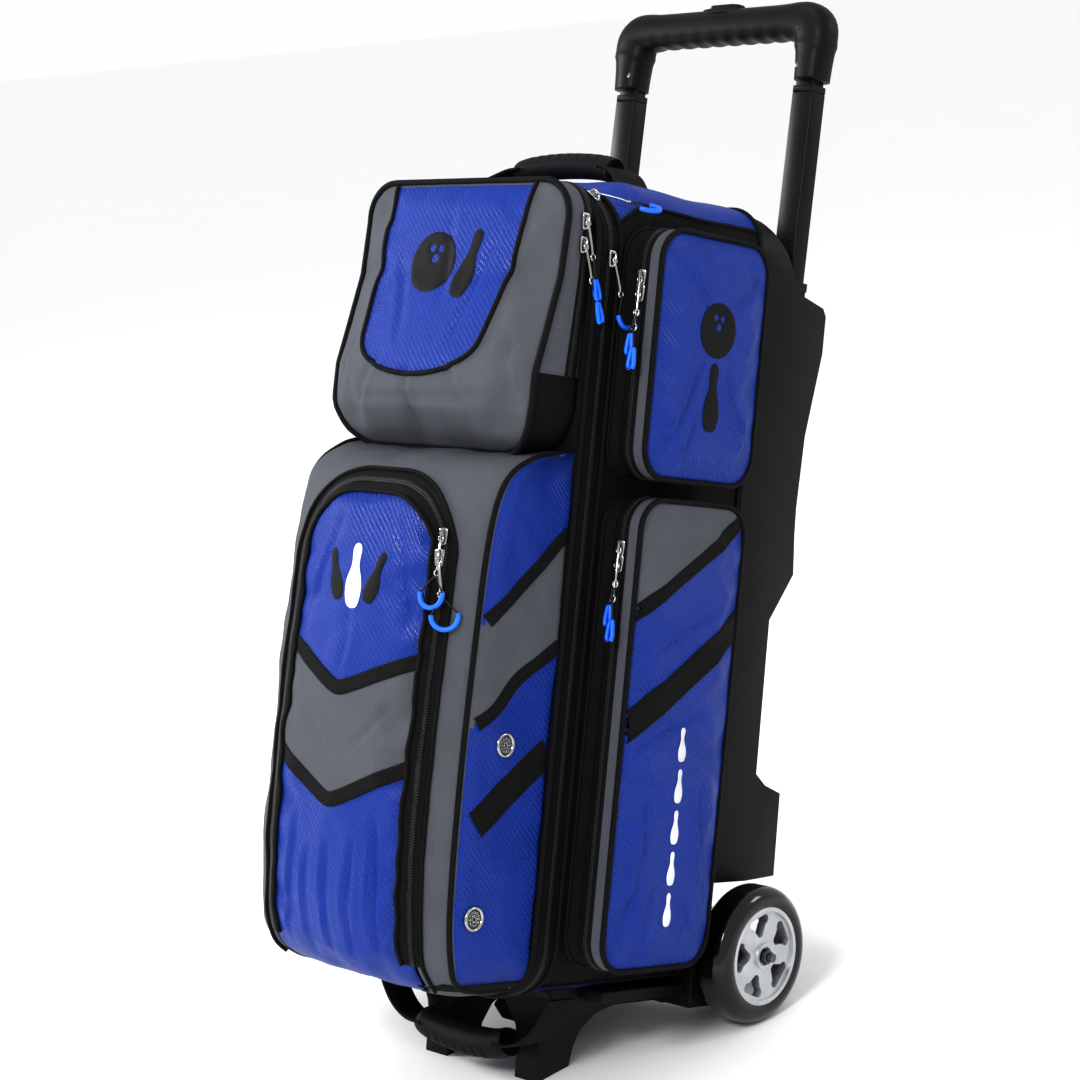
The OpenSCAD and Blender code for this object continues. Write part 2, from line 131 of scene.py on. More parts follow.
class Nodes:
    """A material's node tree, with short ways to add and join nodes."""

    def __init__(self, name):
        self.mat = bpy.data.materials.new(name)
        self.mat.use_nodes = True
        self.tree = self.mat.node_tree
        self.bsdf = self.tree.nodes["Principled BSDF"]
        MATS[name] = self.mat

    def add(self, kind, **values):
        node = self.tree.nodes.new(kind)
        for key, value in values.items():
            setattr(node, key, value)
        return node

    def link(self, a, b):
        self.tree.links.new(a, b)

    def math(self, op, a, b=0.0):
        node = self.add("ShaderNodeMath", operation=op)
        for i, v in enumerate((a, b)):
            if isinstance(v, (int, float)):
                node.inputs[i].default_value = v
            else:
                self.link(v, node.inputs[i])
        return node.outputs[0]

    def coords(self, space, scale):
        tex = self.add("ShaderNodeTexCoord")
        mapping = self.add("ShaderNodeMapping")
        mapping.inputs["Scale"].default_value = scale if hasattr(scale, "__len__") else (scale,) * 3
        self.link(tex.outputs[space], mapping.inputs[0])
        return mapping.outputs[0]

    def noise(self, at, scale=1.0, detail=3.0, rough=0.5):
        node = self.add("ShaderNodeTexNoise")
        node.inputs["Scale"].default_value = scale
        node.inputs["Detail"].default_value = detail
        node.inputs["Roughness"].default_value = rough
        self.link(at, node.inputs["Vector"])
        return node.outputs["Fac"]

    def ramp(self, fac, stops):
        node = self.add("ShaderNodeValToRGB")
        while len(node.color_ramp.elements) < len(stops):
            node.color_ramp.elements.new(0.5)
        for el, (at, colour) in zip(node.color_ramp.elements, stops):
            el.position = at
            el.color = (*colour, 1) if hasattr(colour, "__len__") else (colour, colour, colour, 1)
        self.link(fac, node.inputs[0])
        return node.outputs[0]

    def bump(self, height, strength, distance):
        node = self.add("ShaderNodeBump")
        node.inputs["Strength"].default_value = strength
        node.inputs["Distance"].default_value = distance
        self.link(height, node.inputs["Height"])
        return node.outputs[0]

    def finish(self, rough, metallic=0.0, spec=0.5, sheen=0.0, coat=0.0):
        for key, value in (("Roughness", rough), ("Metallic", metallic), ("Specular IOR Level", spec),
                           ("Sheen Weight", sheen), ("Coat Weight", coat), ("Coat Roughness", 0.1)):
            self.bsdf.inputs[key].default_value = value
        return self.mat


def scaled(colour, k):
    return tuple(min(1.0, c * k) for c in colour)


def weave(name, colour, pitch, twill=2, depth=0.5, rough=0.5, sheen=0.2, spread=0.5, mottle_and_sheen=0.15,
          spec=0.5, space="UV"):
    """Woven cloth: threads over and under by a rule, painted shade in the gaps and painted light on the
    thread tops, and soft variation across the cloth, partly real mottling and partly painted sheen.
    """
    n = Nodes(name)
    at = n.coords(space, 1.0 / (pitch * MM))
    split = n.add("ShaderNodeSeparateXYZ")
    n.link(at, split.inputs[0])
    u, v = split.outputs[0], split.outputs[1]
    repeat = 2.0 * twill
    cell = n.math("ADD", n.math("FLOOR", u), n.math("FLOOR", v))
    sel = n.math("LESS_THAN", n.math("FLOORED_MODULO", cell, repeat), float(twill))
    thread_u = n.math("SINE", n.math("MULTIPLY", n.math("FRACT", u), math.pi))
    thread_v = n.math("SINE", n.math("MULTIPLY", n.math("FRACT", v), math.pi))
    over = n.math("MULTIPLY", thread_u, sel)
    under = n.math("MULTIPLY", n.math("MULTIPLY", thread_v, n.math("SUBTRACT", 1.0, sel)), 0.8)
    height = n.math("ADD", over, under)
    wide = n.coords("Object", 1.0)
    # The cloud noise lightens and darkens the colour across the cloth: partly real mottling, partly painted
    # sheen
    cloud = n.noise(wide, 18.0, 4.0, 0.6)
    fibre = n.noise(n.coords(space, (900, 60, 300)), 1.0, 2.0)
    # Colour from thread height: painted shade in the gaps between threads and painted light on the thread
    # tops
    tone = n.math("ADD", n.math("MULTIPLY", height, spread), n.math("MULTIPLY", cloud, mottle_and_sheen))
    tone = n.math("ADD", tone, n.math("MULTIPLY", fibre, mottle_and_sheen))
    shade = n.ramp(tone, ((0.0, scaled(colour, 0.42)), (0.45, colour), (1.0, scaled(colour, 1.55))))
    n.link(shade, n.bsdf.inputs["Base Color"])
    n.link(n.bump(height, depth, pitch * 0.35 * MM), n.bsdf.inputs["Normal"])
    rough_at = n.ramp(cloud, ((0.3, rough - 0.06), (0.7, rough + 0.08)))
    mat = n.finish(rough, sheen=sheen, spec=spec)
    n.link(rough_at, n.bsdf.inputs["Roughness"])
    return mat


def plastic(name, colour, rough, grain=2500.0, depth=0.08, coat=0.0, spec=0.5, patch=0.08):
    """Moulded plastic or rubber: fine grain, faint flow marks and a roughness that drifts."""
    n = Nodes(name)
    at = n.coords("Object", 1.0)
    cloud = n.noise(at, 9.0, 4.0, 0.55)
    fine = n.noise(at, grain, 2.0)
    shade = n.ramp(cloud, ((0.25, scaled(colour, 0.75)), (0.75, scaled(colour, 1.35))))
    n.link(shade, n.bsdf.inputs["Base Color"])
    n.link(n.ramp(cloud, ((0.3, rough - patch / 2), (0.7, rough + patch / 2))),
           n.bsdf.inputs["Roughness"])
    n.link(n.bump(fine, depth, 0.0004), n.bsdf.inputs["Normal"])
    mat = n.finish(rough, spec=spec, coat=coat)
    return mat


def metal(name, colour, rough, grain=400.0, stretch=(1, 1, 1), depth=0.03, metallic=1.0, coat=0.0):
    n = Nodes(name)
    at = n.coords("Object", stretch)
    fine = n.noise(at, grain, 3.0)
    cloud = n.noise(at, 40.0, 3.0)
    n.link(n.ramp(cloud, ((0.3, scaled(colour, 0.86)), (0.7, scaled(colour, 1.08)))),
           n.bsdf.inputs["Base Color"])
    n.link(n.ramp(fine, ((0.3, rough * 0.75), (0.7, rough * 1.3))), n.bsdf.inputs["Roughness"])
    n.link(n.bump(fine, depth, 0.0002), n.bsdf.inputs["Normal"])
    return n.finish(rough, metallic=metallic, coat=coat)


BLUE, GREY, BLACK = (0.0045, 0.038, 0.275), (0.097, 0.103, 0.116), (0.010, 0.010, 0.011)
weave("blue_twill", BLUE, 1.5, twill=2, depth=1.0, rough=0.40, sheen=0.0, spread=0.75, spec=0.42)
weave("grey_heather", GREY, 0.8, twill=1, depth=0.8, rough=0.75, sheen=0.0, spread=0.6, mottle_and_sheen=0.4,
      spec=0.2)
weave("black_canvas", BLACK, 1.0, twill=1, depth=0.5, rough=0.75, sheen=0.0, spread=0.7, spec=0.15)
weave("black_strap", (0.010, 0.010, 0.011), 1.7, twill=2, depth=0.9, rough=0.7, sheen=0.0, spread=0.8,
      spec=0.18)
weave("black_binding", (0.008, 0.008, 0.009), 0.9, twill=1, depth=0.6, rough=0.65, sheen=0.0, spread=0.8,
      spec=0.18)
weave("lining", (0.05, 0.053, 0.06), 0.9, twill=1, depth=0.3, rough=0.85, sheen=0.1, spread=0.4,
      mottle_and_sheen=0.4, spec=0.2)
plastic("shell_plastic", (0.0095, 0.0095, 0.0105), 0.46, depth=0.10, spec=0.22)
plastic("tube_coat", (0.0075, 0.0075, 0.0085), 0.32, grain=1800, depth=0.03, spec=0.22)
plastic("grip_plastic", (0.0085, 0.0085, 0.0095), 0.44, depth=0.12, spec=0.22)
plastic("grip_rubber", (0.010, 0.010, 0.011), 0.55, depth=0.2, spec=0.2)
plastic("tyre_gloss", (0.004, 0.004, 0.005), 0.14, grain=300, depth=0.01, coat=0.5, spec=0.4)
plastic("cord_black", (0.009, 0.009, 0.010), 0.6, grain=1500, depth=0.5)
plastic("pull_blue", (0.015, 0.16, 0.80), 0.34, depth=0.02)
plastic("foam_dark", (0.022, 0.023, 0.026), 0.85, grain=900, depth=0.6)
plastic("coil_black", (0.014, 0.014, 0.015), 0.38, grain=900, depth=0.05)
plastic("thread_black", (0.012, 0.012, 0.013), 0.6, grain=2000, depth=0.3, spec=0.2)
plastic("thread_white", (0.62, 0.63, 0.65), 0.6, grain=2000, depth=0.3)
metal("zip_chrome", (0.46, 0.46, 0.455), 0.16)
metal("screw_steel", (0.16, 0.16, 0.17), 0.34, stretch=(1, 1, 8))
metal("rim_silver", (0.56, 0.57, 0.585), 0.40, grain=2500, metallic=0.75, coat=0.15)

# ---------------------------------------------------------------- meshes
def smooth_normals(obj):
    for poly in obj.data.polygons:
        poly.use_smooth = True


def piece(name, verts, faces, body, slot, mats, corners=None, which=None, replaces=(), solid=0.0,
          mirror=False):
    """A mesh piece from points in the bag frame; corners holds one (u, v) in metres per face corner."""
    verts = np.asarray(verts, float)
    if mirror:
        verts = verts * (-1, 1, 1)
        faces = [f[::-1] for f in faces]
        if corners is not None:
            corners = [c[::-1] for c in corners]
    mesh = bpy.data.meshes.new(name)
    mesh.from_pydata([tuple(p) for p in world(verts)], [], [tuple(f) for f in faces])
    obj = bpy.data.objects.new(name, mesh)
    bpy.context.scene.collection.objects.link(obj)
    for m in [mats] if isinstance(mats, str) else mats:
        mesh.materials.append(MATS[m])
    if which is not None:
        mesh.polygons.foreach_set("material_index", np.asarray(which, np.int32))
    if corners is not None:
        layer = mesh.uv_layers.new(name="UVMap")
        layer.data.foreach_set("uv", np.asarray([c for f in corners for c in f], np.float32).ravel())
    smooth_normals(obj)
    if solid:
        mod = obj.modifiers.new("thickness", "SOLIDIFY")
        mod.thickness, mod.offset = solid * MM, -1
    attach(obj, body)
    for node in [replaces] if isinstance(replaces, str) else replaces:
        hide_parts(node)
    return obj


def lengths(points):
    steps = np.linalg.norm(np.diff(points, axis=0), axis=1)
    return np.concatenate([[0], np.cumsum(steps)])


def grid_faces(P, closed=False, out=None, keep=None, tag=None):
    """Quads over a grid of points, with texture corners in metres; closed joins the last row to the first."""
    n, m = P.shape[:2]
    ring = np.concatenate([P, P[:1]], 0) if closed else P
    us = lengths(ring[:, m // 2]) * MM
    vs = lengths(P[n // 2]) * MM
    faces, corners, tags = [], [], []
    flip = False
    if out is not None:
        i, j = (n - 1) // 2, (m - 1) // 2
        a, b = ring[i + 1, j] - ring[i, j], ring[i, j + 1] - ring[i, j]
        flip = np.dot(np.cross(a, b), np.asarray(out, float)) < 0
    for i in range(n if closed else n - 1):
        k = (i + 1) % n
        for j in range(m - 1):
            if keep is not None and not keep[i][j]:
                continue
            f = [i * m + j, k * m + j, k * m + j + 1, i * m + j + 1]
            c = [(us[i], vs[j]), (us[i + 1], vs[j]), (us[i + 1], vs[j + 1]), (us[i], vs[j + 1])]
            faces.append(f[::-1] if flip else f)
            corners.append(c[::-1] if flip else c)
            tags.append(0 if tag is None else int(tag[i][j]))
    return P.reshape(-1, 3), faces, corners, tags


def sheet(name, P, body, slot, mats, closed=False, out=None, keep=None, tag=None, **more):
    verts, faces, corners, tags = grid_faces(P, closed, out, keep, tag)
    used = sorted({i for f in faces for i in f})
    at = {v: k for k, v in enumerate(used)}
    faces = [[at[i] for i in f] for f in faces]
    return piece(name, verts[used], faces, body, slot, mats, corners, tags, **more)


def join(parts):
    """Several (verts, faces, corners, tags) as one."""
    verts, faces, corners, tags, base = [], [], [], [], 0
    for v, f, c, t in parts:
        verts.append(v)
        faces += [[i + base for i in q] for q in f]
        corners += c
        tags += t
        base += len(v)
    return np.concatenate(verts), faces, corners, tags


def tangents(C, closed=False):
    T = np.roll(C, -1, 0) - np.roll(C, 1, 0)
    if not closed:
        T[0], T[-1] = C[1] - C[0], C[-1] - C[-2]
    return T / np.maximum(np.linalg.norm(T, axis=1, keepdims=True), 1e-9)


def sweep(C, N, profile, closed=False, ring=False, tag=0, caps=False):
    """A profile of (side, height) points carried along a path whose up direction is N."""
    C, N = np.asarray(C, float), np.asarray(N, float)
    T = tangents(C, closed)
    S = np.cross(T, N)
    S /= np.maximum(np.linalg.norm(S, axis=1, keepdims=True), 1e-9)
    N = np.cross(S, T)
    profile = np.asarray(profile, float)
    P = C[:, None] + S[:, None] * profile[None, :, :1] + N[:, None] * profile[None, :, 1:2]
    m = len(profile)
    if ring:
        P = np.concatenate([P, P[:, :1]], 1)
        m += 1
    verts, faces, corners, tags = grid_faces(P, closed)
    faces = [f[::-1] for f in faces]
    corners = [c[::-1] for c in corners]
    if caps and not closed:
        for row, turn in ((0, 1), (len(C) - 1, -1)):
            f = [row * m + j for j in range(m - 1 if ring else m)][::turn]
            faces.append(f)
            corners.append([(0.0, 0.0)] * len(f))
            tags.append(0)
    return verts, faces, corners, [tag] * len(faces)


def circle(r, sides=8, flat=1.0, lift=0.0):
    return [(r * math.cos(a), lift + r * flat * math.sin(a))
            for a in np.linspace(0, 2 * math.pi, sides, endpoint=False)]


def transported(C, first):
    """Up directions along a path that turn as little as they can."""
    T = tangents(C)
    N = [np.asarray(first, float) - T[0] * np.dot(first, T[0])]
    for t in T[1:]:
        v = N[-1] - t * np.dot(N[-1], t)
        N.append(v / max(np.linalg.norm(v), 1e-9))
    N[0] = N[0] / np.linalg.norm(N[0])
    return np.array(N)


def resample(points, n=None, step=None, closed=False):
    P = np.asarray(points, float)
    if closed:
        P = np.concatenate([P, P[:1]], 0)
    L = lengths(P)
    if n is None:
        n = max(2, int(round(L[-1] / step)) + (0 if closed else 1))
    at = np.linspace(0, L[-1], n, endpoint=not closed)
    return np.stack([np.interp(at, L, P[:, k]) for k in range(P.shape[1])], 1)


def even(C, N, step):
    """A path and its up directions, both taken at even steps along the path."""
    L = lengths(C)
    at = np.linspace(0, L[-1], max(2, int(round(L[-1] / step)) + 1))
    return tuple(np.stack([np.interp(at, L, Q[:, k]) for k in range(3)], 1) for Q in (C, N))


def soften(points, rounds=3, closed=False):
    """Cuts the corners of a polyline until it is a smooth curve."""
    P = np.asarray(points, float)
    for _ in range(rounds):
        Q = np.roll(P, -1, 0) if closed else P[1:]
        A = P if closed else P[:-1]
        cut = np.stack([0.75 * A + 0.25 * Q, 0.25 * A + 0.75 * Q], 1).reshape(-1, P.shape[1])
        P = cut if closed else np.concatenate([P[:1], cut, P[-1:]])
    return P


def loop(x0, z0, x1, z1, r, r_top=None, across=20, along=36, corner=10):
    """A rounded rectangle, from its lower left side anticlockwise, with the same points at any size."""
    r_top = r if r_top is None else r_top
    sides = [((x0 + r, z0), (x1 - r, z0), across), ((x1, z0 + r), (x1, z1 - r_top), along),
             ((x1 - r_top, z1), (x0 + r_top, z1), across), ((x0, z1 - r_top), (x0, z0 + r), along)]
    centres = [((x1 - r, z0 + r), -90, r), ((x1 - r_top, z1 - r_top), 0, r_top),
               ((x0 + r_top, z1 - r_top), 90, r_top), ((x0 + r, z0 + r), 180, r)]
    pts = []
    for (a, b, k), ((cx, cz), start, rad) in zip(sides, centres):
        for t in np.linspace(0, 1, k, endpoint=False):
            pts.append((a[0] + (b[0] - a[0]) * t, a[1] + (b[1] - a[1]) * t))
        for t in np.linspace(0, 1, corner, endpoint=False):
            ang = math.radians(start + 90 * t)
            pts.append((cx + rad * math.cos(ang), cz + rad * math.sin(ang)))
    return np.array(pts)


def loop_normals(L):
    T = np.roll(L, -1, 0) - np.roll(L, 1, 0)
    T /= np.linalg.norm(T, axis=1, keepdims=True)
    return np.stack([T[:, 1], -T[:, 0]], 1)


def patch(w, h, r, r_top, n, m):
    """Points that fill a rounded rectangle centred on 0, as a grid whose edge follows the outline."""
    u, v = np.meshgrid(np.linspace(-1, 1, n), np.linspace(-1, 1, m), indexing="ij")
    k = np.maximum(np.abs(u), np.abs(v))
    safe = np.maximum(k, 1e-9)
    bx, bz = u / safe * w / 2, v / safe * h / 2
    rr = np.where(bz > 0, r_top, r)
    cx, cz = w / 2 - rr, h / 2 - rr
    dx, dz = np.abs(bx), np.abs(bz)
    inside = (dx > cx) & (dz > cz)
    # Along the ray to the corner point (dx, dz), the arc is met where |t d - c| = r
    a, b, c = dx**2 + dz**2, dx * cx + dz * cz, cx**2 + cz**2 - rr**2
    t = (b + np.sqrt(np.maximum(b * b - a * c, 0))) / np.maximum(a, 1e-9)
    f = np.where(inside, np.minimum(t, 1), 1)
    s = 1 + (f - 1) * k**4
    return u * w / 2 * s, v * h / 2 * s, u, v


def wobble(P, amp, scale, seed=0.0, fade=None):
    """Small soft dents and folds."""
    Q = P.copy()
    n, m = P.shape[:2]
    du = np.gradient(P, axis=0)
    dv = np.gradient(P, axis=1)
    N = np.cross(du, dv)
    N /= np.maximum(np.linalg.norm(N, axis=2, keepdims=True), 1e-9)
    for i in range(n):
        for j in range(m):
            p = Vector(P[i, j] * scale) + Vector((seed, seed * 1.7, -seed))
            d = noise.noise(p) + 0.5 * noise.noise(p * 2.3)
            w = 1.0 if fade is None else fade[i, j]
            Q[i, j] += N[i, j] * d * amp * w
    return Q


# ---------------------------------------------------------------- cloth
def inflate(P, out, pressure=3.0, slack=0.03, cap=12.0, frames=22, bend=1.0, seed=0.0, rough=0.5):
    """The cloth of a padded panel: pinned at its edge, a little too big, pressed out from behind."""
    n, m = P.shape[:2]
    u, v = np.meshgrid(np.linspace(-1, 1, n), np.linspace(-1, 1, m), indexing="ij")
    edge = (1 - np.abs(u) ** 8) * (1 - np.abs(v) ** 8)
    start = wobble(P, rough, 0.03, seed, edge)
    start += np.asarray(out, float) * (edge * 1.5)[..., None]
    verts, faces, _, _ = grid_faces(start, out=out)
    mesh = bpy.data.meshes.new("cloth_work")
    mesh.from_pydata([tuple(p) for p in world(verts)], [], faces)
    obj = bpy.data.objects.new("cloth_work", mesh)
    bpy.context.scene.collection.objects.link(obj)
    group = obj.vertex_groups.new(name="pin")
    idx = np.arange(n * m).reshape(n, m)
    rim = np.concatenate([idx[0], idx[-1], idx[:, 0], idx[:, -1]]).tolist()
    group.add(rim, 1.0, "REPLACE")
    mod = obj.modifiers.new("cloth", "CLOTH")
    s = mod.settings
    s.quality, s.mass, s.air_damping = 6, 0.25, 2.0
    s.tension_stiffness = s.compression_stiffness = 18
    s.shear_stiffness, s.bending_stiffness = 6, bend
    s.tension_damping = s.compression_damping = 8
    s.vertex_group_mass = "pin"
    s.shrink_min = -slack
    s.use_pressure, s.uniform_pressure_force = True, pressure
    s.effector_weights.gravity = 0
    mod.point_cache.frame_start, mod.point_cache.frame_end = 1, frames
    scene = bpy.context.scene
    for f in range(1, frames + 1):
        scene.frame_set(f)
    dg = bpy.context.evaluated_depsgraph_get()
    done = obj.evaluated_get(dg)
    co = np.zeros(n * m * 3)
    done.data.vertices.foreach_get("co", co)
    got = bag(co.reshape(-1, 3)).reshape(n, m, 3)
    bpy.data.objects.remove(obj)
    bpy.data.meshes.remove(mesh)
    scene.frame_set(1)
    move = got - P
    for _ in range(5):
        calm = (move[:-2, 1:-1] + move[2:, 1:-1] + move[1:-1, :-2] + move[1:-1, 2:]) / 4
        move[1:-1, 1:-1] = 0.5 * move[1:-1, 1:-1] + 0.5 * calm
    far = np.linalg.norm(move, axis=2, keepdims=True)
    return P + move * np.minimum(1, cap / np.maximum(far, 1e-6))


def creases(P, axes, out, lines):
    """Folds pressed into a cloth face: (from, to, width, depth), each bowed and fading at its ends."""
    n, m = P.shape[:2]
    u, v = np.meshgrid(np.linspace(-1, 1, n), np.linspace(-1, 1, m), indexing="ij")
    rim = (1 - np.abs(u) ** 6) * (1 - np.abs(v) ** 6)
    push = np.zeros((n, m))
    for k, (a, b, width, depth) in enumerate(lines):
        a, d = np.array(a, float), np.array(b, float) - np.array(a, float)
        size = np.hypot(*d)
        q = P[..., list(axes)] - a
        t = (q @ d) / size**2
        bow = width * (0.7 - 0.2 * (k % 3)) * np.sin(t * 4.4 + k)
        s = (q[..., 1] * d[0] - q[..., 0] * d[1]) / size + bow
        fade = np.clip(1 - (2 * t - 1) ** 4, 0, 1)
        push += fade * depth * 1.35 * (0.55 * np.exp(-((s - 1.5 * width) / width) ** 2) -
                                       np.exp(-(s / width) ** 2))
    return P + np.asarray(out, float) * (push * rim)[..., None]


TOP_FOLDS = [((-44, 548), (-84, 492), 4.5, 2.4), ((-6, 536), (-14, 478), 4, 2.2),
             ((34, 544), (66, 486), 4.5, 2.4), ((-96, 560), (-112, 500), 4, 1.8),
             ((88, 570), (108, 505), 4, 1.8), ((-96, 506), (92, 514), 5, 1.6),
             ((-30, 552), (-58, 640), 4, 1.4), ((28, 552), (54, 650), 4, 1.4),
             ((-4, 690), (8, 585), 5, 1.0)]
PANEL_FOLDS = [((-58, 22), (-44, 150), 3.6, 2.2), ((-30, 16), (-26, 120), 3.2, 2.0),
               ((2, 20), (-4, 128), 3.6, 2.2), ((30, 18), (24, 132), 3.2, 2.0),
               ((60, 24), (46, 160), 3.6, 2.2), ((-62, 306), (-28, 408), 4, 1.7),
               ((62, 300), (40, 404), 4, 1.7), ((-66, 252), (-14, 196), 3.6, 1.5),
               ((66, 258), (12, 204), 3.6, 1.5), ((-6, 330), (-4, 268), 4, 1.3)]
UPPER_FOLDS = [((34, 474), (82, 566), 4, 2.0), ((152, 478), (108, 560), 4, 2.0),
               ((36, 652), (84, 604), 4, 1.6), ((152, 648), (112, 610), 4, 1.6),
               ((60, 462), (74, 520), 3.5, 1.4)]
LOWER_FOLDS = [((38, 44), (66, 190), 4, 2.0), ((152, 46), (126, 200), 4, 2.0),
               ((60, 38), (74, 110), 3.5, 1.6), ((34, 216), (120, 262), 3.6, 1.7),
               ((40, 300), (130, 352), 3.6, 1.5), ((60, 392), (140, 420), 4, 1.3),
               ((128, 36), (116, 100), 3.5, 1.6)]


class Skin:
    """A surface that trims are laid on."""

    def __init__(self, *grids):
        verts, faces, _, _ = join([grid_faces(P) for P in grids])
        self.tree = BVHTree.FromPolygons([Vector(v) for v in verts], faces)

    def lay(self, points, direction, near=120.0):
        """Points dropped onto the surface along a direction, with the surface's normals."""
        d = Vector(direction).normalized()
        at, up = [], []
        for p in points:
            start = Vector(p) - d * near
            hit, normal, _, _ = self.tree.ray_cast(start, d, near * 3)
            if hit is None:
                hit, normal, _, _ = self.tree.find_nearest(Vector(p))
            if normal.dot(d) > 0:
                normal = -normal
            at.append(hit)
            up.append(normal)
        at, up = np.array(at), np.array(up)
        k = np.array([1, 2, 3, 2, 1.0]) / 9
        if len(up) > 6:
            pad = np.concatenate([up[:1].repeat(2, 0), up, up[-1:].repeat(2, 0)])
            up = sum(w * pad[i:i + len(up)] for i, w in enumerate(k))
            up /= np.linalg.norm(up, axis=1, keepdims=True)
        return at, up


def flat_normals(P):
    T = np.roll(P, -1, 0) - np.roll(P, 1, 0)
    T[0], T[-1] = P[1] - P[0], P[-1] - P[-2]
    T /= np.maximum(np.linalg.norm(T, axis=1, keepdims=True), 1e-9)
    return np.stack([T[:, 1], -T[:, 0]], 1)


def laid(skin, path, profile, place, direction):
    """A strip that hugs a surface: profile holds (side offset, height) points across a flat path."""
    path = np.asarray(path, float)
    N = flat_normals(path)
    rows = []
    for off, lift in profile:
        at, up = skin.lay([place(*q) for q in path + N * off], direction)
        rows.append(at + up * lift)
    return np.array(rows).transpose(1, 0, 2)


def laid_parts(skin, path, profile, place, direction):
    P = laid(skin, path, profile, place, direction)
    return grid_faces(P, out=-np.asarray(direction, float))


def band_across(width, thick=1.0, parts=4):
    h = width / 2
    inner = [(x, thick) for x in np.linspace(-h + 0.6, h - 0.6, parts)]
    return [(-h, -0.6), (-h, thick * 0.6)] + inner + [(h, thick * 0.6), (h, -0.6)]


def laid_band(name, skin, path, width, place, direction, body, mirror=False, slot="webbing",
              mat="black_strap"):
    """A flat woven band sewn on a surface, with a stitch row along each edge."""
    path = resample(path, step=3.5)
    parts = [laid_parts(skin, path, band_across(width), place, direction)]
    N = flat_normals(path)
    for side in (-1, 1):
        at, up = skin.lay([place(*q) for q in path + N * side * (width / 2 - 2.2)], direction)
        parts.append(stitch_row(at + up * 1.0, up, tag=1))
    v, f, c, t = join(parts)
    return piece(name, v, f, body, slot, [mat, "thread_black"], c, t, mirror=mirror)


def laid_zip(name, skin, path, place, direction, plus, minus, width, lift=1.4):
    """A zip whose two tapes hug the surface; each tape rides on its own body."""
    path = resample(path, step=2.5)
    N = flat_normals(path)
    at, up = skin.lay([place(*q) for q in path], direction)
    T = tangents(at)
    S = np.cross(T, up)
    flat = np.array([np.array(place(*(q + n))) - np.array(place(*q)) for q, n in zip(path, N)])
    turn = 1 if np.mean(np.sum(S * flat, axis=1)) > 0 else -1
    for sign, body, word in ((1, plus, "a"), (-1, minus, "b")):
        prof = [(0.4 * sign, lift * 0.9), (2.6 * sign, lift), (width * 0.6 * sign, lift * 0.85),
                (width * sign, lift * 0.7),
                (width * sign, -0.5)]
        tape = laid_parts(skin, path, prof, place, direction)
        row_at, row_up = skin.lay([place(*q) for q in path + N * sign * (width - 1.8)], direction)
        rows = stitch_row(row_at + row_up * lift * 0.75, row_up, tag=2)
        coil = teeth(at + up * lift, up, sign * turn)
        v, f, c, t = join([tape, coil, rows])
        piece(f"{name}_{word}", v, f, body, "black_fabric",
              ["black_binding", "coil_black", "thread_black"], c, t)


def piping(name, C, N, body, r=PIPING_R, closed=False, lift=0.6, **more):
    v, f, c, t = sweep(C, N, circle(r, 8, lift=lift), closed, ring=True, caps=True)
    return piece(name, v, f, body, "black_fabric", "black_binding", c, t, **more)


def stitch_row(C, N, side=0.0, pitch=3.6, length=2.4, r=0.28, lift=0.1, tag=0):
    """A row of short raised stitches beside a path."""
    L = lengths(C)
    T = tangents(C)
    S = np.cross(T, N)
    parts = []
    for at in np.arange(pitch, L[-1] - pitch, pitch):
        i = min(int(np.searchsorted(L, at)), len(C) - 1)
        c, t, n, s = C[i], T[i], N[i], S[i]
        if i > 0:
            k = (at - L[i - 1]) / max(L[i] - L[i - 1], 1e-9)
            c = C[i - 1] + (C[i] - C[i - 1]) * k
        c = c + s * side + n * lift
        q = []
        for e, g in ((-length / 2, 0.35), (-length / 3, 1.0), (length / 3, 1.0), (length / 2, 0.35)):
            q += [c + t * e + s * r * g, c + t * e + n * r * g * 1.4, c + t * e - s * r * g]
        f = []
        for a in range(3):
            b = a * 3
            f += [[b, b + 3, b + 4, b + 1], [b + 1, b + 4, b + 5, b + 2]]
        parts.append((np.array(q), f, [[(0.0, 0.0)] * 4 for _ in f], [tag] * len(f)))
    return join(parts)


def teeth(C, N, sign, pitch=2.3, reach=2.7, tag=1):
    """One side of a zip's coil: a low rounded bar for each turn."""
    L = lengths(C)
    T = tangents(C)
    S = np.cross(T, N)
    shape = [(-0.42, 0.25), (-0.30, 1.25), (0.30, 1.25), (0.42, 0.25)]
    parts = []
    start = pitch / 2 if sign > 0 else pitch
    for at in np.arange(start, L[-1] - 0.5, pitch):
        i = min(int(np.searchsorted(L, at)), len(C) - 1)
        k = (at - L[i - 1]) / max(L[i] - L[i - 1], 1e-9)
        c = C[i - 1] + (C[i] - C[i - 1]) * k
        t, n, s = T[i], N[i], S[i] * sign
        q = [c + s * x + t * (a * pitch) + n * h for x in (-0.5, reach) for a, h in shape]
        f = [[0, 1, 5, 4], [1, 2, 6, 5], [2, 3, 7, 6], [0, 3, 2, 1], [4, 5, 6, 7]]
        if sign < 0:
            f = [g[::-1] for g in f]
        parts.append((np.array(q), f, [[(0.0, 0.0)] * 4 for _ in f], [tag] * len(f)))
    return join(parts)


def zip_pair(name, C, N, plus, minus, width):
    """A zip as two halves: the plus half lies on the path's right-hand side (tangent x normal)."""
    C = np.asarray(C) + np.asarray(N) * 0.5
    for sign, body, word in ((1, plus, "a"), (-1, minus, "b")):
        prof = [(0.35 * sign, 0.0), (2.4 * sign, 0.35), (width * 0.55 * sign, 0.25), (width * sign, 0.0),
                (width * sign, -0.5)]
        tape = sweep(C, N, prof[::sign])
        rows = stitch_row(C, N, sign * (width - 1.6), lift=0.1, tag=2)
        v, f, c, t = join([tape, teeth(C, N, sign), rows])
        piece(f"{name}_{word}", v, f, body, "black_fabric",
              ["black_binding", "coil_black", "thread_black"], c, t)


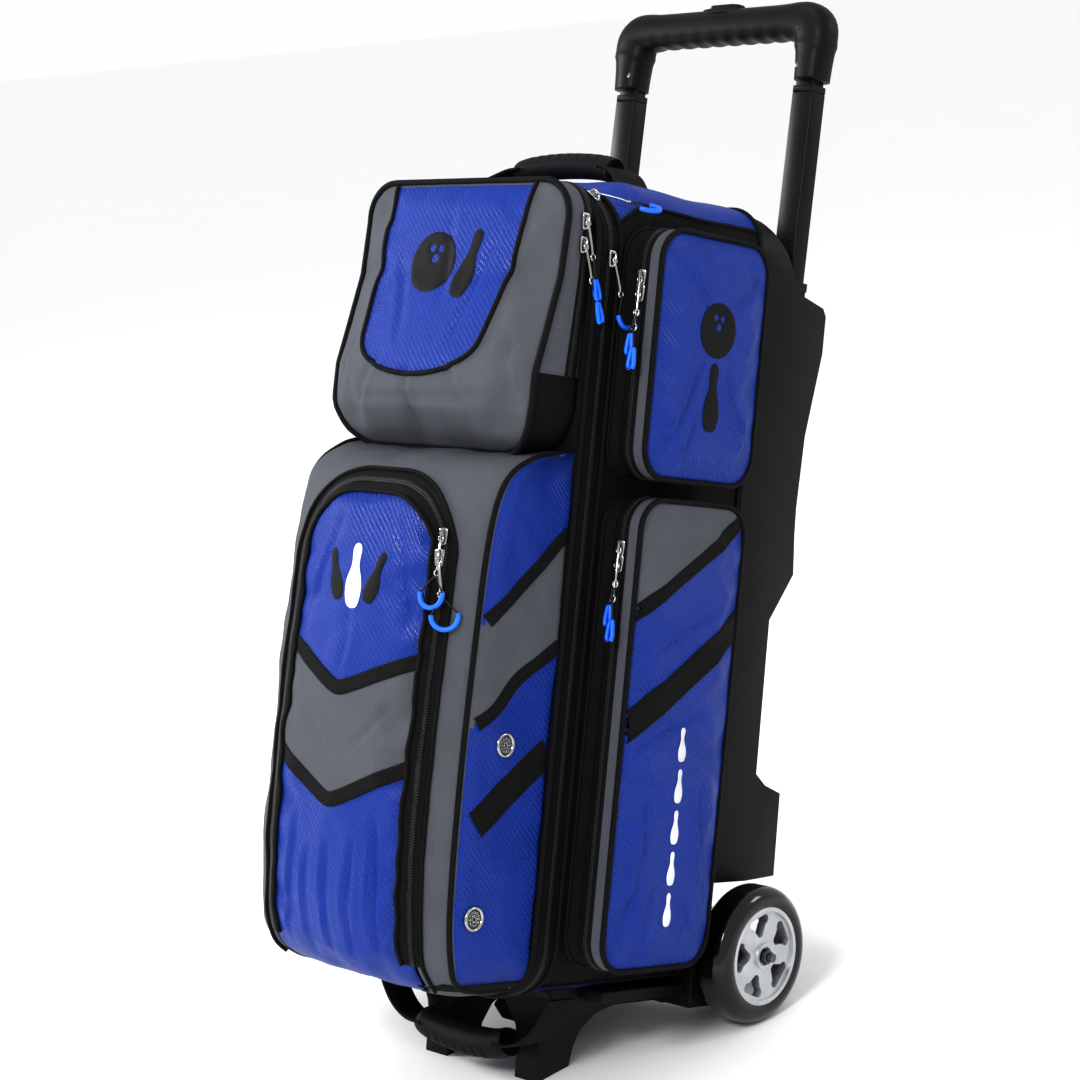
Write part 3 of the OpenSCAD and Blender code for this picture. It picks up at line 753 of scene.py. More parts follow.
# ---------------------------------------------------------------- soft body
def body_loop(y):
    """The body's outline at a depth y: flat-topped at the front, fuller and higher behind."""
    k = min(1.0, max(0.0, (y - 6) / 40.0))
    k = k * k * (3 - 2 * k)
    sag = 3.0 * math.exp(-((y - 120) / 45.0) ** 2)
    return loop(-HALF_W, 0, HALF_W, BODY_H + CROWN * k - sag * 0.5, 50, 50 - 13 * k)


BODY_YS = [1.5, 4, 8, 13, 19, 26, 34, 44, 56, 70, 85, 100, 115, 130, 145, 160, 174, 186, 196, 203, 207.5]


def soft_body():
    L0 = body_loop(0)
    P = np.array([[(x, y, z) for x, z in body_loop(y)] for y in BODY_YS]).transpose(1, 0, 2)
    x, z = P[..., 0], P[..., 2]
    # The crown swells a little between its seams
    top = np.clip((z - 690) / 20, 0, 1)
    mid = np.sin(np.linspace(0, math.pi, len(BODY_YS)))[None, :]
    P[..., 2] += top * mid * 2.5 * (1 - (x / HALF_W) ** 2)
    row = np.arange(len(BODY_YS))
    fade = np.clip(np.minimum(row, row[::-1]) / 3, 0, 1)
    P = wobble(P, 1.3, 0.018, 3.0, np.repeat(fade[None, :], len(L0), 0))
    P[..., 0] = np.clip(P[..., 0], -HALF_W - 1.2, HALF_W + 1.2)
    crown = (P[:, 10, 2] > 690)
    floor = (P[:, 10, 2] < 9)
    blue = (crown & np.roll(crown, -1)) | (floor & np.roll(floor, -1))
    tag = [[0] * 3 + [int(b)] * (len(BODY_YS) - 4) for b in blue]
    sheet("soft_body", P, "chassis", "blue_fabric", ["black_canvas", "blue_twill"], closed=True,
          out=(0, 0, 1), tag=tag, solid=3.0, replaces=("body_wall", "body_back_panel", "main_zip"))
    # Seams where the blue meets the black
    marks = [i for i in range(len(L0)) if crown[i] != crown[i - 1] or floor[i] != floor[i - 1]]
    for k, i in enumerate(marks):
        line = P[i, 3:]
        flat = [loop_normals(body_loop(y))[i] for y in BODY_YS[3:]]
        N = np.array([(nx, 0, nz) for nx, nz in flat])
        piping(f"body_seam_{k}", *even(line, N, 5), "chassis", r=1.7)
    # A bound edge round the crown's front, and one at the back where the shell takes over
    for word, y in (("front", 12.5), ("back", 203)):
        ring = body_loop(y)
        N = loop_normals(ring)
        C = np.stack([ring[:, 0], np.full(len(ring), y), ring[:, 1]], 1)
        N3 = np.stack([N[:, 0], 0 * N[:, 0], N[:, 1]], 1)
        piping(f"body_bound_{word}", C + N3 * 0.4, N3, "chassis", r=2.0, closed=True)
    back = patch(2 * HALF_W - 6, BODY_H - 6, 44, 40, 12, 24)
    B = np.stack([back[0], np.full_like(back[0], BODY_D + 1.0), back[1] + BODY_H / 2], 2)
    sheet("back_lining", B, "chassis", "divider_fabric", "lining", out=(0, -1, 0))


def main_zip():
    ring = loop(-HALF_W, 0, HALF_W, BODY_H, 50)
    N2 = loop_normals(ring)
    C = np.stack([ring[:, 0], 0 * ring[:, 0], ring[:, 1]], 1)
    N = np.stack([N2[:, 0], 0 * N2[:, 0], N2[:, 1]], 1)
    # It runs from the foot of the hinge side round the bottom, the right and the top
    run = slice(0, 20 + 10 + 36 + 10 + 20 + 5)
    zip_pair("main_zip", *even(C[run], N[run], 3), "lid", "chassis", width=9.5)


# ---------------------------------------------------------------- side pockets
def yz(points, x):
    """Flat (y, z) points stood up at x."""
    points = np.asarray(points, float)
    x = np.broadcast_to(x, points.shape[:1])
    return np.stack([x, points[:, 0], points[:, 1]], 1)


def side_pocket(level, box, bands, greys, sim):
    y0, y1, z0, z1 = box
    cy, cz = (y0 + y1) / 2, (z0 + z1) / 2
    r = 28

    def ring(grow=0.0):
        L = loop(y0 - grow, z0 - grow, y1 + grow, z1 + grow, r + grow, along=int((z1 - z0) / 7),
                 across=16, corner=9)
        return L, loop_normals(L)

    def skirt(stations):
        return np.array([yz(ring(g)[0], x) for x, g in stations]).transpose(1, 0, 2)

    X = HALF_W
    base = skirt([(X + 0.2, 1.5), (X + 2, 1.0), (X + 6, -0.5), (X + 12, -0.8), (X + 18, -0.3),
                  (SIDE_SPLIT - 0.6, 0)])
    cover = skirt([(SIDE_SPLIT + 0.6, 0), (156, 0.2), (160, 0.5), (164, 0.4), (168, -0.1),
                   (SIDE_OUT - 1.5, -0.8)])
    a, b, _, _ = patch(y1 - y0 - 2, z1 - z0 - 2, r - 1, r - 1, 34, int((z1 - z0) / 4.2))
    face = np.stack([np.full_like(a, SIDE_OUT - 1.0), a + cy, b + cz], 2)
    face = sim(face)
    skin = Skin(face)
    edge_L, edge_N = ring(-0.8)
    C = yz(edge_L, SIDE_OUT - 1.2)
    N = np.concatenate([np.full((len(edge_N), 1), 0.75), edge_N * 0.66], 1)
    seam_L, seam_N = ring()
    first = int(np.argmax(seam_L[:, 0]))
    seam_L, seam_N = np.roll(seam_L, -first, 0), np.roll(seam_N, -first, 0)
    zipped = seam_L[:, 0] < y1 - 6
    SC, SN = yz(seam_L[zipped], SIDE_SPLIT), yz(seam_N[zipped], 0.0)
    base_L, base_N = ring(1.2)
    BC, BN = yz(base_L, X + 1.2), np.concatenate([np.full((len(base_N), 1), 0.7), base_N * 0.7], 1)
    # The blue and grey parts of the face, split where the bands lie
    tag = [[0] * (face.shape[1] - 1) for _ in range(face.shape[0] - 1)]
    for i in range(face.shape[0] - 1):
        for j in range(face.shape[1] - 1):
            y, z = face[i, j, 1], face[i, j, 2]
            tag[i][j] = 1 if greys(y, z) else 0
    for side, word in ((1, "right"), (-1, "left")):
        flip = side < 0
        covers, bases = f"{level}_cover_{word}", "chassis"
        nm = f"{level}_pocket"
        sheet(f"{nm}_gusset_inner_{word}", base, bases, "black_fabric", "black_canvas", closed=True,
              out=(0, 1, 0),
              solid=1.6, mirror=flip, replaces=f"{level}_pocket_base_{word}")
        sheet(f"{nm}_gusset_{word}", cover, covers, "grey_fabric", "grey_heather", closed=True,
              out=(0, 1, 0),
              solid=1.6, mirror=flip)
        sheet(f"{nm}_face_{word}", face, covers, "blue_fabric", ["blue_twill", "grey_heather"],
              out=(1, 0, 0),
              tag=tag, solid=1.6, mirror=flip, replaces=f"{level}_pocket_cover_{word}")
        piping(f"{nm}_piping_{word}", C, N, covers, r=2.5, closed=True, mirror=flip)
        piping(f"{nm}_root_{word}", BC, BN, bases, r=2.0, closed=True, mirror=flip)
        for sign, body, half in ((1, bases, "a"), (-1, covers, "b")):
            prof = [(x * sign, h)
                    for x, h in ((0.35, 0.3), (2.4, 0.7), (5.0, 0.6), (8.5, 0.3), (8.5, -0.4))]
            tape = sweep(SC, SN, prof[::sign])
            rows = stitch_row(SC, SN, sign * 7.0, lift=0.35, tag=2)
            v_, f_, c_, t_ = join([tape, teeth(SC + SN * 0.5, SN, sign), rows])
            piece(f"{nm}_zip_{half}_{word}", v_, f_, body, "black_fabric",
                  ["black_binding", "coil_black", "thread_black"], c_, t_, mirror=flip)
        for k, (line, width) in enumerate(bands):
            laid_band(f"{nm}_band_{k}_{word}", skin, soften(line, 2), width, lambda y,
                      z: (SIDE_OUT + 20, y, z),
                      (-1, 0, 0), covers, mirror=flip)
    return skin


def dome(out, lines, **settings):
    return lambda P: creases(inflate(P, out, **settings), (1, 2), out, lines)


def side_pockets():
    up = side_pocket("upper", UPPER_BOX, [], lambda y, z: False,
                     dome((1, 0, 0), UPPER_FOLDS, pressure=3.2, slack=0.035, cap=9, seed=1.0, rough=0.9))
    low_bands = [([(22, 338), (60, 366), (110, 398), (166, 432)], 12.5),
                 ([(22, 240), (60, 268), (110, 302), (166, 338)], 25)]
    low = side_pocket("lower", LOWER_BOX, low_bands, lambda y, z: z > 324 + 0.66 * y,
                      dome((1, 0, 0), LOWER_FOLDS, pressure=3.0, slack=0.04, cap=10, seed=5.0, rough=1.3))
    return up, low


# ---------------------------------------------------------------- lid and front pockets
def lid():
    stations = [(-1.5, 0), (-4, 0.3), (-8, 0.2), (-12, -0.4), (-14.5, -2.0)]
    P = np.array([[(x, y, z) for x, z in loop(-HALF_W - g, -g, HALF_W + g, BODY_H + g, 50 + g)]
                  for y, g in stations]).transpose(1, 0, 2)
    sheet("lid_edge", P, "lid", "black_fabric", "black_canvas", closed=True, out=(0, 0, 1), solid=2.0,
          replaces="lid_panel")
    a, b, _, _ = patch(2 * HALF_W - 4, BODY_H - 4, 48, 48, 24, 60)
    F = np.stack([a, np.full_like(a, -LID_D - 0.2), b + BODY_H / 2], 2)
    sheet("lid_front", F, "lid", "black_fabric", "black_canvas", out=(0, -1, 0), solid=2.0)
    ring = loop(-HALF_W + 0.5, 0.5, HALF_W - 0.5, BODY_H - 0.5, 49.5)
    N2 = loop_normals(ring)
    for k, (y, r, g) in enumerate(((-14.2, 3.0, 0.0), (-9.8, 1.6, 0.4))):
        C = np.stack([ring[:, 0] + N2[:, 0] * g, np.full(len(ring), y), ring[:, 1] + N2[:, 1] * g], 1)
        N = np.stack([N2[:, 0], np.full(len(ring), -0.5 + k * 0.5), N2[:, 1]], 1)
        piping(f"lid_piping_{k}", C, N, "lid", r=r, closed=True)


TOP_EDGE = [(457, -24), (466, -50), (480, -63), (501, -71), (537, -70), (573, -61), (619, -50),
            (667, -47), (702, -48)]


def top_edge_y(z):
    zs, ys = zip(*TOP_EDGE)
    return np.interp(z, zs, ys)


def top_pocket():
    w, z0, z1 = 242, 466, 701
    h, cz = z1 - z0, (z1 + z0) / 2
    a, b, u, v = patch(w, h, 46, 30, 56, 54)
    z = b + cz
    crown = (22 * (1 - np.abs(u) ** 2.6) * (1 - np.abs(v) ** 3) *
             (0.55 + 0.45 * np.clip((640 - z) / 140, 0, 1)))
    face = np.stack([a, top_edge_y(z) - crown, z], 2)
    face = inflate(face, (0, -1, 0), pressure=2.6, slack=0.03, cap=7, seed=9.0, rough=1.6)
    face = creases(face, (0, 2), (0, -1, 0), TOP_FOLDS)
    skin = Skin(face)
    panel = u_outline()
    tag = inside_tags(face, panel, (0, 2))
    obj = sheet("top_pocket_face", face, "lid", "grey_fabric", ["grey_heather", "blue_twill"],
                out=(0, -1, 0),
                tag=tag, solid=1.8, replaces=("top_front_cover", "top_front_base"))
    fold(obj)
    # Piping round the face and round the blue panel
    ring = loop(-w / 2, z0, w / 2, z1, 46, 30, along=40)
    N2 = loop_normals(ring)
    C = np.stack([ring[:, 0], top_edge_y(ring[:, 1]), ring[:, 1]], 1)
    N = np.stack([N2[:, 0] * 0.8, np.full(len(ring), -0.6), N2[:, 1] * 0.8], 1)
    fold(piping("top_pocket_piping", C, N, "lid", r=2.9, closed=True))
    at, up = skin.lay([(x, -150, zz) for x, zz in resample(panel, step=4)], (0, 1, 0))
    fold(piping("top_panel_piping", at, up, "lid", r=2.3))
    # Gussets between the face and the lid
    back = loop(-w / 2 + 1, z0 + 2, w / 2 - 1, z1 - 1, 44, 28, along=40)
    rows = []
    for k in np.linspace(0, 1, 9):
        bulge = 2.0 * math.sin(math.pi * k)
        rows.append(np.stack([back[:, 0] * (1 - k) + ring[:, 0] * k + N2[:, 0] * bulge,
                              -15.2 * (1 - k) + C[:, 1] * k,
                              back[:, 1] * (1 - k) + ring[:, 1] * k + N2[:, 1] * bulge], 1))
    G = np.array(rows).transpose(1, 0, 2)
    return skin, G, C, N2


def u_outline():
    """The blue panel's edge on the top pocket: down one side, round the bottom, up the other."""
    pts = [(-86, 698), (-84, 660), (-84, 610), (-80, 572)]
    for t in np.linspace(180, 360, 15):
        pts.append((-6 + 74 * math.cos(math.radians(t)), 562 + 34 * math.sin(math.radians(t))))
    pts += [(73, 590), (80, 640), (84, 698)]
    return soften(pts, 2)


def inside(outline, x, z):
    """Whether (x, z) lies inside a closed outline."""
    hit = False
    j = len(outline) - 1
    for i in range(len(outline)):
        xi, zi = outline[i]
        xj, zj = outline[j]
        if (zi > z) != (zj > z) and x < (xj - xi) * (z - zi) / (zj - zi) + xi:
            hit = not hit
        j = i
    return hit


def inside_tags(P, outline, axes):
    mid = (P[:-1, :-1] + P[1:, :-1] + P[1:, 1:] + P[:-1, 1:]) / 4
    return [[1 if inside(outline, q[axes[0]], q[axes[1]]) else 0 for q in row] for row in mid]


def bend(obj, base, cover, low, high, y):
    """Cloth that runs across a fold line: it is taken off its body and its place baked into the mesh; it does
    not follow either side of the fold.
    """
    obj.parent = None
    del obj["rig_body"]
    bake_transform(obj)


def fold(obj):
    bend(obj, "lid", "top_cover", 508, 536, -60)


def top_gussets(G, C, N2):
    n = len(G)
    zs = C[:, 2]
    high = zs > 535
    # Base strip behind the zip, cover strip in front of it, and the black lower gusset
    k_zip = 2
    tag_low = [[0 if high[i] and high[(i + 1) % n] else 1] * (G.shape[1] - 1) for i in range(n)]
    keep_base = [[(high[i] and j < k_zip) or not high[i] for j in range(G.shape[1] - 1)]
                 for i in range(n)]
    keep_cover = [[high[i] and j >= k_zip for j in range(G.shape[1] - 1)] for i in range(n)]
    sheet("top_gusset_base", G, "lid", "grey_fabric", ["grey_heather", "black_canvas"], closed=True,
          out=(0, 0, 1),
          keep=keep_base, tag=tag_low, solid=1.6)
    sheet("top_gusset_cover", G, "top_cover", "grey_fabric", "grey_heather", closed=True, out=(0, 0, 1),
          keep=keep_cover, solid=1.6)
    run = [i for i in range(n) if high[i]]
    line = G[run, k_zip]
    N = np.stack([N2[run, 0], 0 * N2[run, 0], N2[run, 1]], 1)
    zip_pair("top_pocket_zip", *even(line, N, 3), "top_cover", "lid", width=7.5)


# Lower front pocket: the side view down its middle, and how its depth falls towards the sides
LOW_MID = [(-15, 3), (-50, 2), (-92, 6), (-122, 24), (-135, 60), (-139, 110), (-140, 180), (-139, 240),
           (-136, 310), (-132, 380), (-124, 424), (-106, 450), (-70, 465), (-40, 470), (-15, 473)]
LOW_PLAN = [(-125, 0.0), (-125, 0.60), (-123, 0.72), (-119, 0.785), (-104, 0.855), (-85, 0.91),
            (-45, 0.975), (0, 1.0), (45, 0.975), (85, 0.91), (104, 0.855), (119, 0.785), (123, 0.72),
            (125, 0.60), (125, 0.0)]
ARCH = dict(half=86, low=8, high=434, r=14, r_top=66)
SEAM = {"left": 0.70, "right": 0.775}
FOLD_Z = 24
FRONT = lambda x, z: (x, -200, z)
REAR = (0, 1, 0)


def arch_loop(grow=0.0):
    a = ARCH
    return loop(-a["half"] - grow, a["low"] - grow, a["half"] + grow, a["high"] + grow, a["r"] + grow,
                a["r_top"] + grow, across=18, along=60, corner=16)


def arch_path(grow, foot):
    """The arch from its left foot over the top to its right foot."""
    L = arch_loop(grow)
    L = np.roll(L, -int(np.argmin(np.abs(L[:, 0]) + L[:, 1])), 0)
    return L[L[:, 1] > foot][::-1]


def chevron(tip_x, tip, slope, tilt=0.0, half=80):
    return [(x, tip + slope * (math.hypot(x - tip_x, 7) - 7) + tilt * x)
            for x in np.linspace(-half, half, 61)]


BAND_1 = (-6, 256, 0.46, -0.05)
BAND_2 = (-3, 161, 0.50, 0.0)


def band_z(x, b):
    return b[1] + b[2] * (math.hypot(x - b[0], 7) - 7) + b[3] * x


def round_foot(P, half=125, low=2, R=42):
    """Rounds the lower corners of a front view."""
    a = (np.abs(P[..., 0]) - (half - R)) / R
    b = ((low + R) - P[..., 2]) / R
    k = np.clip(np.maximum(a, b), 1e-6, 1)
    on = (a > 0) & (b > 0)
    f = np.where(on, 1 + (k / np.maximum(np.hypot(a, b), 1e-6) - 1) * k**3, 1)
    Q = P.copy()
    Q[..., 0] = np.where(on, np.sign(P[..., 0]) * (half - R + a * f * R), P[..., 0])
    Q[..., 2] = np.where(on, low + R - b * f * R, P[..., 2])
    return Q


def low_pocket():
    mid = resample(soften(LOW_MID, 3), n=150)
    plan = resample(soften([(x, d * 120) for x, d in LOW_PLAN], 3), n=120)
    n, m = len(plan), len(mid)
    P = np.zeros((n, m, 3))
    P[..., 0] = plan[:, :1]
    P[..., 1] = -15 + (mid[None, :, 0] + 15) * (plan[:, 1:2] / 120)
    P[..., 2] = mid[None, :, 1]
    P = round_foot(P)
    edge = np.minimum(1, np.minimum(np.arange(m), m - 1 - np.arange(m)) / 4)
    P = wobble(P, 2.3, 0.02, 12.0, np.repeat(edge[None, :], n, 0))
    hole = arch_loop(3.0)
    deep = plan[:, 1] / 120
    wall = np.array([d < SEAM["left" if x < 0 else "right"] for x, d in zip(plan[:, 0], deep)])
    tag, keep = [], []
    for i in range(n - 1):
        row_t, row_k = [], []
        for j in range(m - 1):
            q = (P[i, j] + P[i + 1, j + 1]) / 2
            front = not (wall[i] and wall[i + 1])
            row_k.append(not (front and q[1] < -60 and inside(hole, q[0], q[2])))
            row_t.append(0 if front or q[2] < 17 or side_grey(q[1], q[2]) else 1)
        tag.append(row_t)
        keep.append(row_k)
    sheet("low_pocket_shell", P, "lid", "grey_fabric", ["grey_heather", "blue_twill"], out=(0, -1, 0),
          keep=keep, tag=tag, solid=1.8, replaces="low_front_base")
    skin = Skin(P)
    for word, i, step in (("left", int(np.argmax(~wall)), 3),
                          ("right", n - 1 - int(np.argmax(~wall[::-1])), -3)):
        N = np.cross(tangents(P[i, 2:-1]), P[i + step, 2:-1] - P[i - step, 2:-1])
        N /= np.linalg.norm(N, axis=1, keepdims=True)
        N *= np.sign(N[len(N) // 2, 1] * -1)
        piping(f"low_pocket_piping_{word}", *even(P[i, 2:-1], N, 4), "lid", r=2.4)
    for side, word in ((1, "right"), (-1, "left")):
        laid_band(f"low_side_foot_{word}", skin, [(y, 17.0) for y in np.linspace(-18, -98, 20)], 7,
                  lambda y, z: (side * 190, y, z), (-side, 0,
                                                    0), "lid", slot="black_fabric", mat="black_binding")
    return P


def side_grey(y, z):
    """The grey zone of the lower pocket's side, between its two narrow bands."""
    return SIDE_BAND_LOW(y) < z < SIDE_BAND_HIGH(y)


def SIDE_BAND_HIGH(y):
    return 404 + 0.92 * (y + 16)


def SIDE_BAND_LOW(y):
    return 308 + 0.62 * (y + 16) - 14 * (1 / (1 + math.exp((y + 72) / 5)))


def hinged(obj):
    """The panel's cloth, which runs across the cover's foot: bend() takes it off its body and bakes its
    place, so it does not bend as the cover opens.
    """
    bend(obj, "lid", "low_cover", FOLD_Z - 6, FOLD_Z + 8, -110)


def low_panel(shell):
    a = ARCH
    w, h = 2 * a["half"] - 1.0, a["high"] - a["low"] - 1.0
    px, pz, _, _ = patch(w, h, a["r"], a["r_top"], 44, 100)
    base = Skin(shell)
    flat = [(x, -200, z) for x, z in zip(px.ravel(), (pz + (a["low"] + a["high"]) / 2).ravel())]
    face = base.lay(flat, REAR)[0].reshape(px.shape + (3,))
    face = inflate(face, (0, -1, 0), pressure=2.4, slack=0.035, cap=6, seed=21.0, rough=1.8)
    face = creases(face, (0, 2), (0, -1, 0), PANEL_FOLDS)
    tag = [[1 if band_z(q[0], BAND_2) < q[2] < band_z(q[0], BAND_1) else 0 for q in row]
           for row in (face[:-1, :-1] + face[1:, 1:]) / 2]
    hinged(sheet("low_panel_face", face, "low_cover", "blue_fabric", ["blue_twill", "grey_heather"],
                 out=(0, -1, 0),
                 tag=tag, solid=1.8, replaces="low_front_cover"))
    skin = Skin(face, shell)
    for k, b in enumerate((BAND_1, BAND_2)):
        laid_band(f"low_panel_band_{k}", skin, chevron(*b), 13, FRONT, REAR, "low_cover")
    laid_zip("low_pocket_zip", skin, arch_path(0, FOLD_Z + 4), FRONT, REAR, "low_cover", "lid", width=10)
    for word, grow, body, r in (("inner", -10, "low_cover", 2.0), ("outer", 10, "lid", 1.7)):
        path = resample(arch_path(grow, FOLD_Z - 12 if body == "lid" else FOLD_Z + 4), step=4)
        at, up = skin.lay([FRONT(*q) for q in path], REAR)
        piping(f"low_pocket_bound_{word}", at + up * 1.2, up, body, r=r)
    return skin


def low_side_bands(skin):
    for side, word in ((1, "right"), (-1, "left")):
        for k, (line, width) in enumerate((
                ([(y, SIDE_BAND_HIGH(y)) for y in np.linspace(-16, -101, 24)], 12),
                ([(y, SIDE_BAND_LOW(y)) for y in np.linspace(-16, -103, 30)], 12),
                ([(-16, 217), (-40, 200), (-66, 180), (-95, 156)], 25))):
            laid_band(f"low_side_band_{k}_{word}", skin, line, width, lambda y, z: (side * 190, y, z),
                      (-side, 0, 0), "lid")


# ---------------------------------------------------------------- vents, emblems
def disc_rings(centre, normal, rings, sides=28):
    """A turned shape: rings of (radius, height) round a centre along a normal."""
    n = np.asarray(normal, float)
    n /= np.linalg.norm(n)
    a = np.cross(n, (0, 0, 1.0))
    a = a / np.linalg.norm(a) if np.linalg.norm(a) > 1e-3 else np.array((1.0, 0, 0))
    b = np.cross(n, a)
    ang = np.linspace(0, 2 * math.pi, sides, endpoint=False)
    P = np.array([[centre + (a * math.cos(t) + b * math.sin(t)) * r + n * h for r, h in rings]
                  for t in ang])
    return grid_faces(P, closed=True, out=n)


VENT_RIM = [(10.8, 0.0), (10.6, 1.4), (9.6, 2.2), (8.4, 1.8), (7.9, 0.7), (7.8, 0.3)]
VENT_HOLE = [(1.25, 0.1), (1.2, 0.7), (0.85, 0.7), (0.8, 0.1)]


def vents(skin):
    for side, word in ((1, "right"), (-1, "left")):
        parts = []
        for y, z in ((-68, 223), (-88, 78)):
            at, up = skin.lay([(side * 150, y, z)], (-side, 0, 0))
            c, n = at[0], up[0]
            parts.append(disc_rings(c, n, VENT_RIM))
            v, f, cc, _ = disc_rings(c, n, [(7.8, 0.35), (0.01, 0.35)])
            parts.append((v, f, cc, [1] * len(f)))
            for r0, k in ((2.6, 6), (5.6, 12)):
                for t in np.arange(k) * 2 * math.pi / k:
                    a = np.cross(n, (0, 0, 1.0))
                    a /= np.linalg.norm(a)
                    b = np.cross(n, a)
                    spot = c + (a * math.cos(t) + b * math.sin(t)) * r0 + n * 0.3
                    parts.append(disc_rings(spot, n, VENT_HOLE, 8))
        v, f, c, t = join(parts)
        obj = piece(f"vents_{word}", v, f, "lid", "zip_metal", ["zip_chrome", "coil_black"], c, t)
        if side > 0:
            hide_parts("vent_grommets")


def applique(name, skin, outline, holes, frame_of, direction, body, mat, slot, thick=0.8, step=2.6,
             mirror=False):
    """A flat embroidered shape laid on a surface: outline and holes are closed flat loops."""
    loops = [np.asarray(outline)] + [np.asarray(h) for h in holes]
    pts, edges = [], []
    for L in loops:
        base = len(pts)
        pts += [tuple(q) for q in L]
        edges += [(base + i, base + (i + 1) % len(L)) for i in range(len(L))]
    lo, hi = loops[0].min(0), loops[0].max(0)
    for x in np.arange(lo[0], hi[0], step):
        for z in np.arange(lo[1], hi[1], step):
            near = min(np.min(np.hypot(L[:, 0] - x, L[:, 1] - z)) for L in loops)
            if near > step * 0.55 and inside(loops[0], x,
                                             z) and not any(inside(h, x, z) for h in loops[1:]):
                pts.append((x, z))
    out = delaunay_2d_cdt([Vector(q) for q in pts], edges, [], 0, 1e-5)
    flat, faces = np.array([tuple(v) for v in out[0]]), out[2]
    faces = [f for f in faces if inside(loops[0], *flat[list(f)].mean(0)) and
             not any(inside(h, *flat[list(f)].mean(0)) for h in loops[1:])]
    at, up = [], []
    for q in flat:
        hit, n = skin.lay([frame_of(*q)], direction)
        at.append(hit[0])
        up.append(n[0])
    at, up = np.array(at), np.array(up)
    edge = np.array([min(np.min(np.hypot(L[:, 0] - q[0], L[:, 1] - q[1])) for L in loops) for q in flat])
    lift = np.where(edge < 0.4, 0.25, thick)
    verts = at + up * lift[:, None]
    d = np.asarray(direction, float)
    fixed = []
    for f in faces:
        a, b, c = (verts[i] for i in f[:3])
        fixed.append(list(f) if np.dot(np.cross(b - a, c - a), d) < 0 else list(f)[::-1])
    corners = [[(flat[i][0] * MM, flat[i][1] * MM) for i in f] for f in fixed]
    return piece(name, verts, fixed, body, slot, mat, corners, mirror=mirror)


def ring_of(cx, cz, r, n=40):
    t = np.linspace(0, 2 * math.pi, n, endpoint=False)
    return np.stack([cx + r * np.cos(t), cz + r * np.sin(t)], 1)


def pin_outline(cx, cz, h, turn=0.0):
    """The side view of a plain skittle, as a closed loop."""
    half = [(0.10, 0.0), (0.155, 0.10), (0.185, 0.25), (0.16, 0.42), (0.10, 0.58), (0.078, 0.68),
            (0.09, 0.80), (0.10, 0.88),
            (0.07, 0.97), (0.0, 1.0)]
    pts = half + [(-x, z) for x, z in half[::-1][1:]]
    pts = soften(np.array(pts) * h - (0, h / 2), 2, closed=True)
    c, s = math.cos(turn), math.sin(turn)
    return pts @ np.array([[c, s], [-s, c]]) + (cx, cz)


def ball_and_pin(name, skin, cx, cz, r, place, direction, body, mirror=False):
    """A bowling ball with three finger holes; the pin beside it is laid separately."""
    holes = [ring_of(cx - r * 0.16, cz + r * 0.46, r * 0.13, 14),
             ring_of(cx + r * 0.22, cz + r * 0.44, r * 0.13, 14),
             ring_of(cx + r * 0.05, cz + r * 0.12, r * 0.15, 14)]
    applique(name, skin, ring_of(cx, cz, r, 48), holes, place, direction, body, "thread_black",
             "black_fabric",
             mirror=mirror)


def emblems(top_skin, panel_skin, up_skin, side_skin):
    ball_and_pin("top_emblem_ball", top_skin, -14, 628, 27, FRONT, REAR, "top_cover")
    applique("top_emblem_pin", top_skin, pin_outline(30, 627, 62, -0.18), [], FRONT, REAR, "top_cover",
             "thread_black", "black_fabric")
    for k, (x, h, turn, mat) in enumerate(((-27, 46, 0.30, "thread_black"), (-2, 56, 0.0, "thread_white"),
                                           (23, 46, -0.30, "thread_black"))):
        applique(f"panel_emblem_{k}", panel_skin, pin_outline(x, 352, h, turn), [], FRONT, REAR,
                 "low_cover", mat,
                 "black_fabric")
    side = lambda y, z: (SIDE_OUT + 20, y, z)
    for word, flip in (("right", False), ("left", True)):
        ball_and_pin(f"side_emblem_ball_{word}", up_skin, 92, 590, 24, side, (-1, 0, 0),
                     f"upper_cover_{word}", flip)
        applique(f"side_emblem_pin_{word}", up_skin, pin_outline(92, 532, 60), [], side, (-1, 0, 0),
                 f"upper_cover_{word}", "thread_black", "black_fabric", mirror=flip)
        for k in range(5):
            applique(f"side_mark_{k}_{word}", side_skin, pin_outline(95, 86 + k * 36, 30), [], side,
                     (-1, 0, 0), f"lower_cover_{word}", "thread_white", "black_fabric", mirror=flip)


# ---------------------------------------------------------------- handles
def strap(path, width, thick=2.4, first=(0, 0, 1)):
    C = resample(soften(path, 3), step=4)
    N = transported(C, first)
    h = width / 2
    prof = [(-h, -thick / 2), (-h - 0.5, 0), (-h, thick / 2), (0, thick / 2 + 0.2), (h, thick / 2),
            (h + 0.5, 0), (h, -thick / 2),
            (0, -thick / 2 - 0.2)]
    return sweep(C, N, prof, ring=True, caps=True)


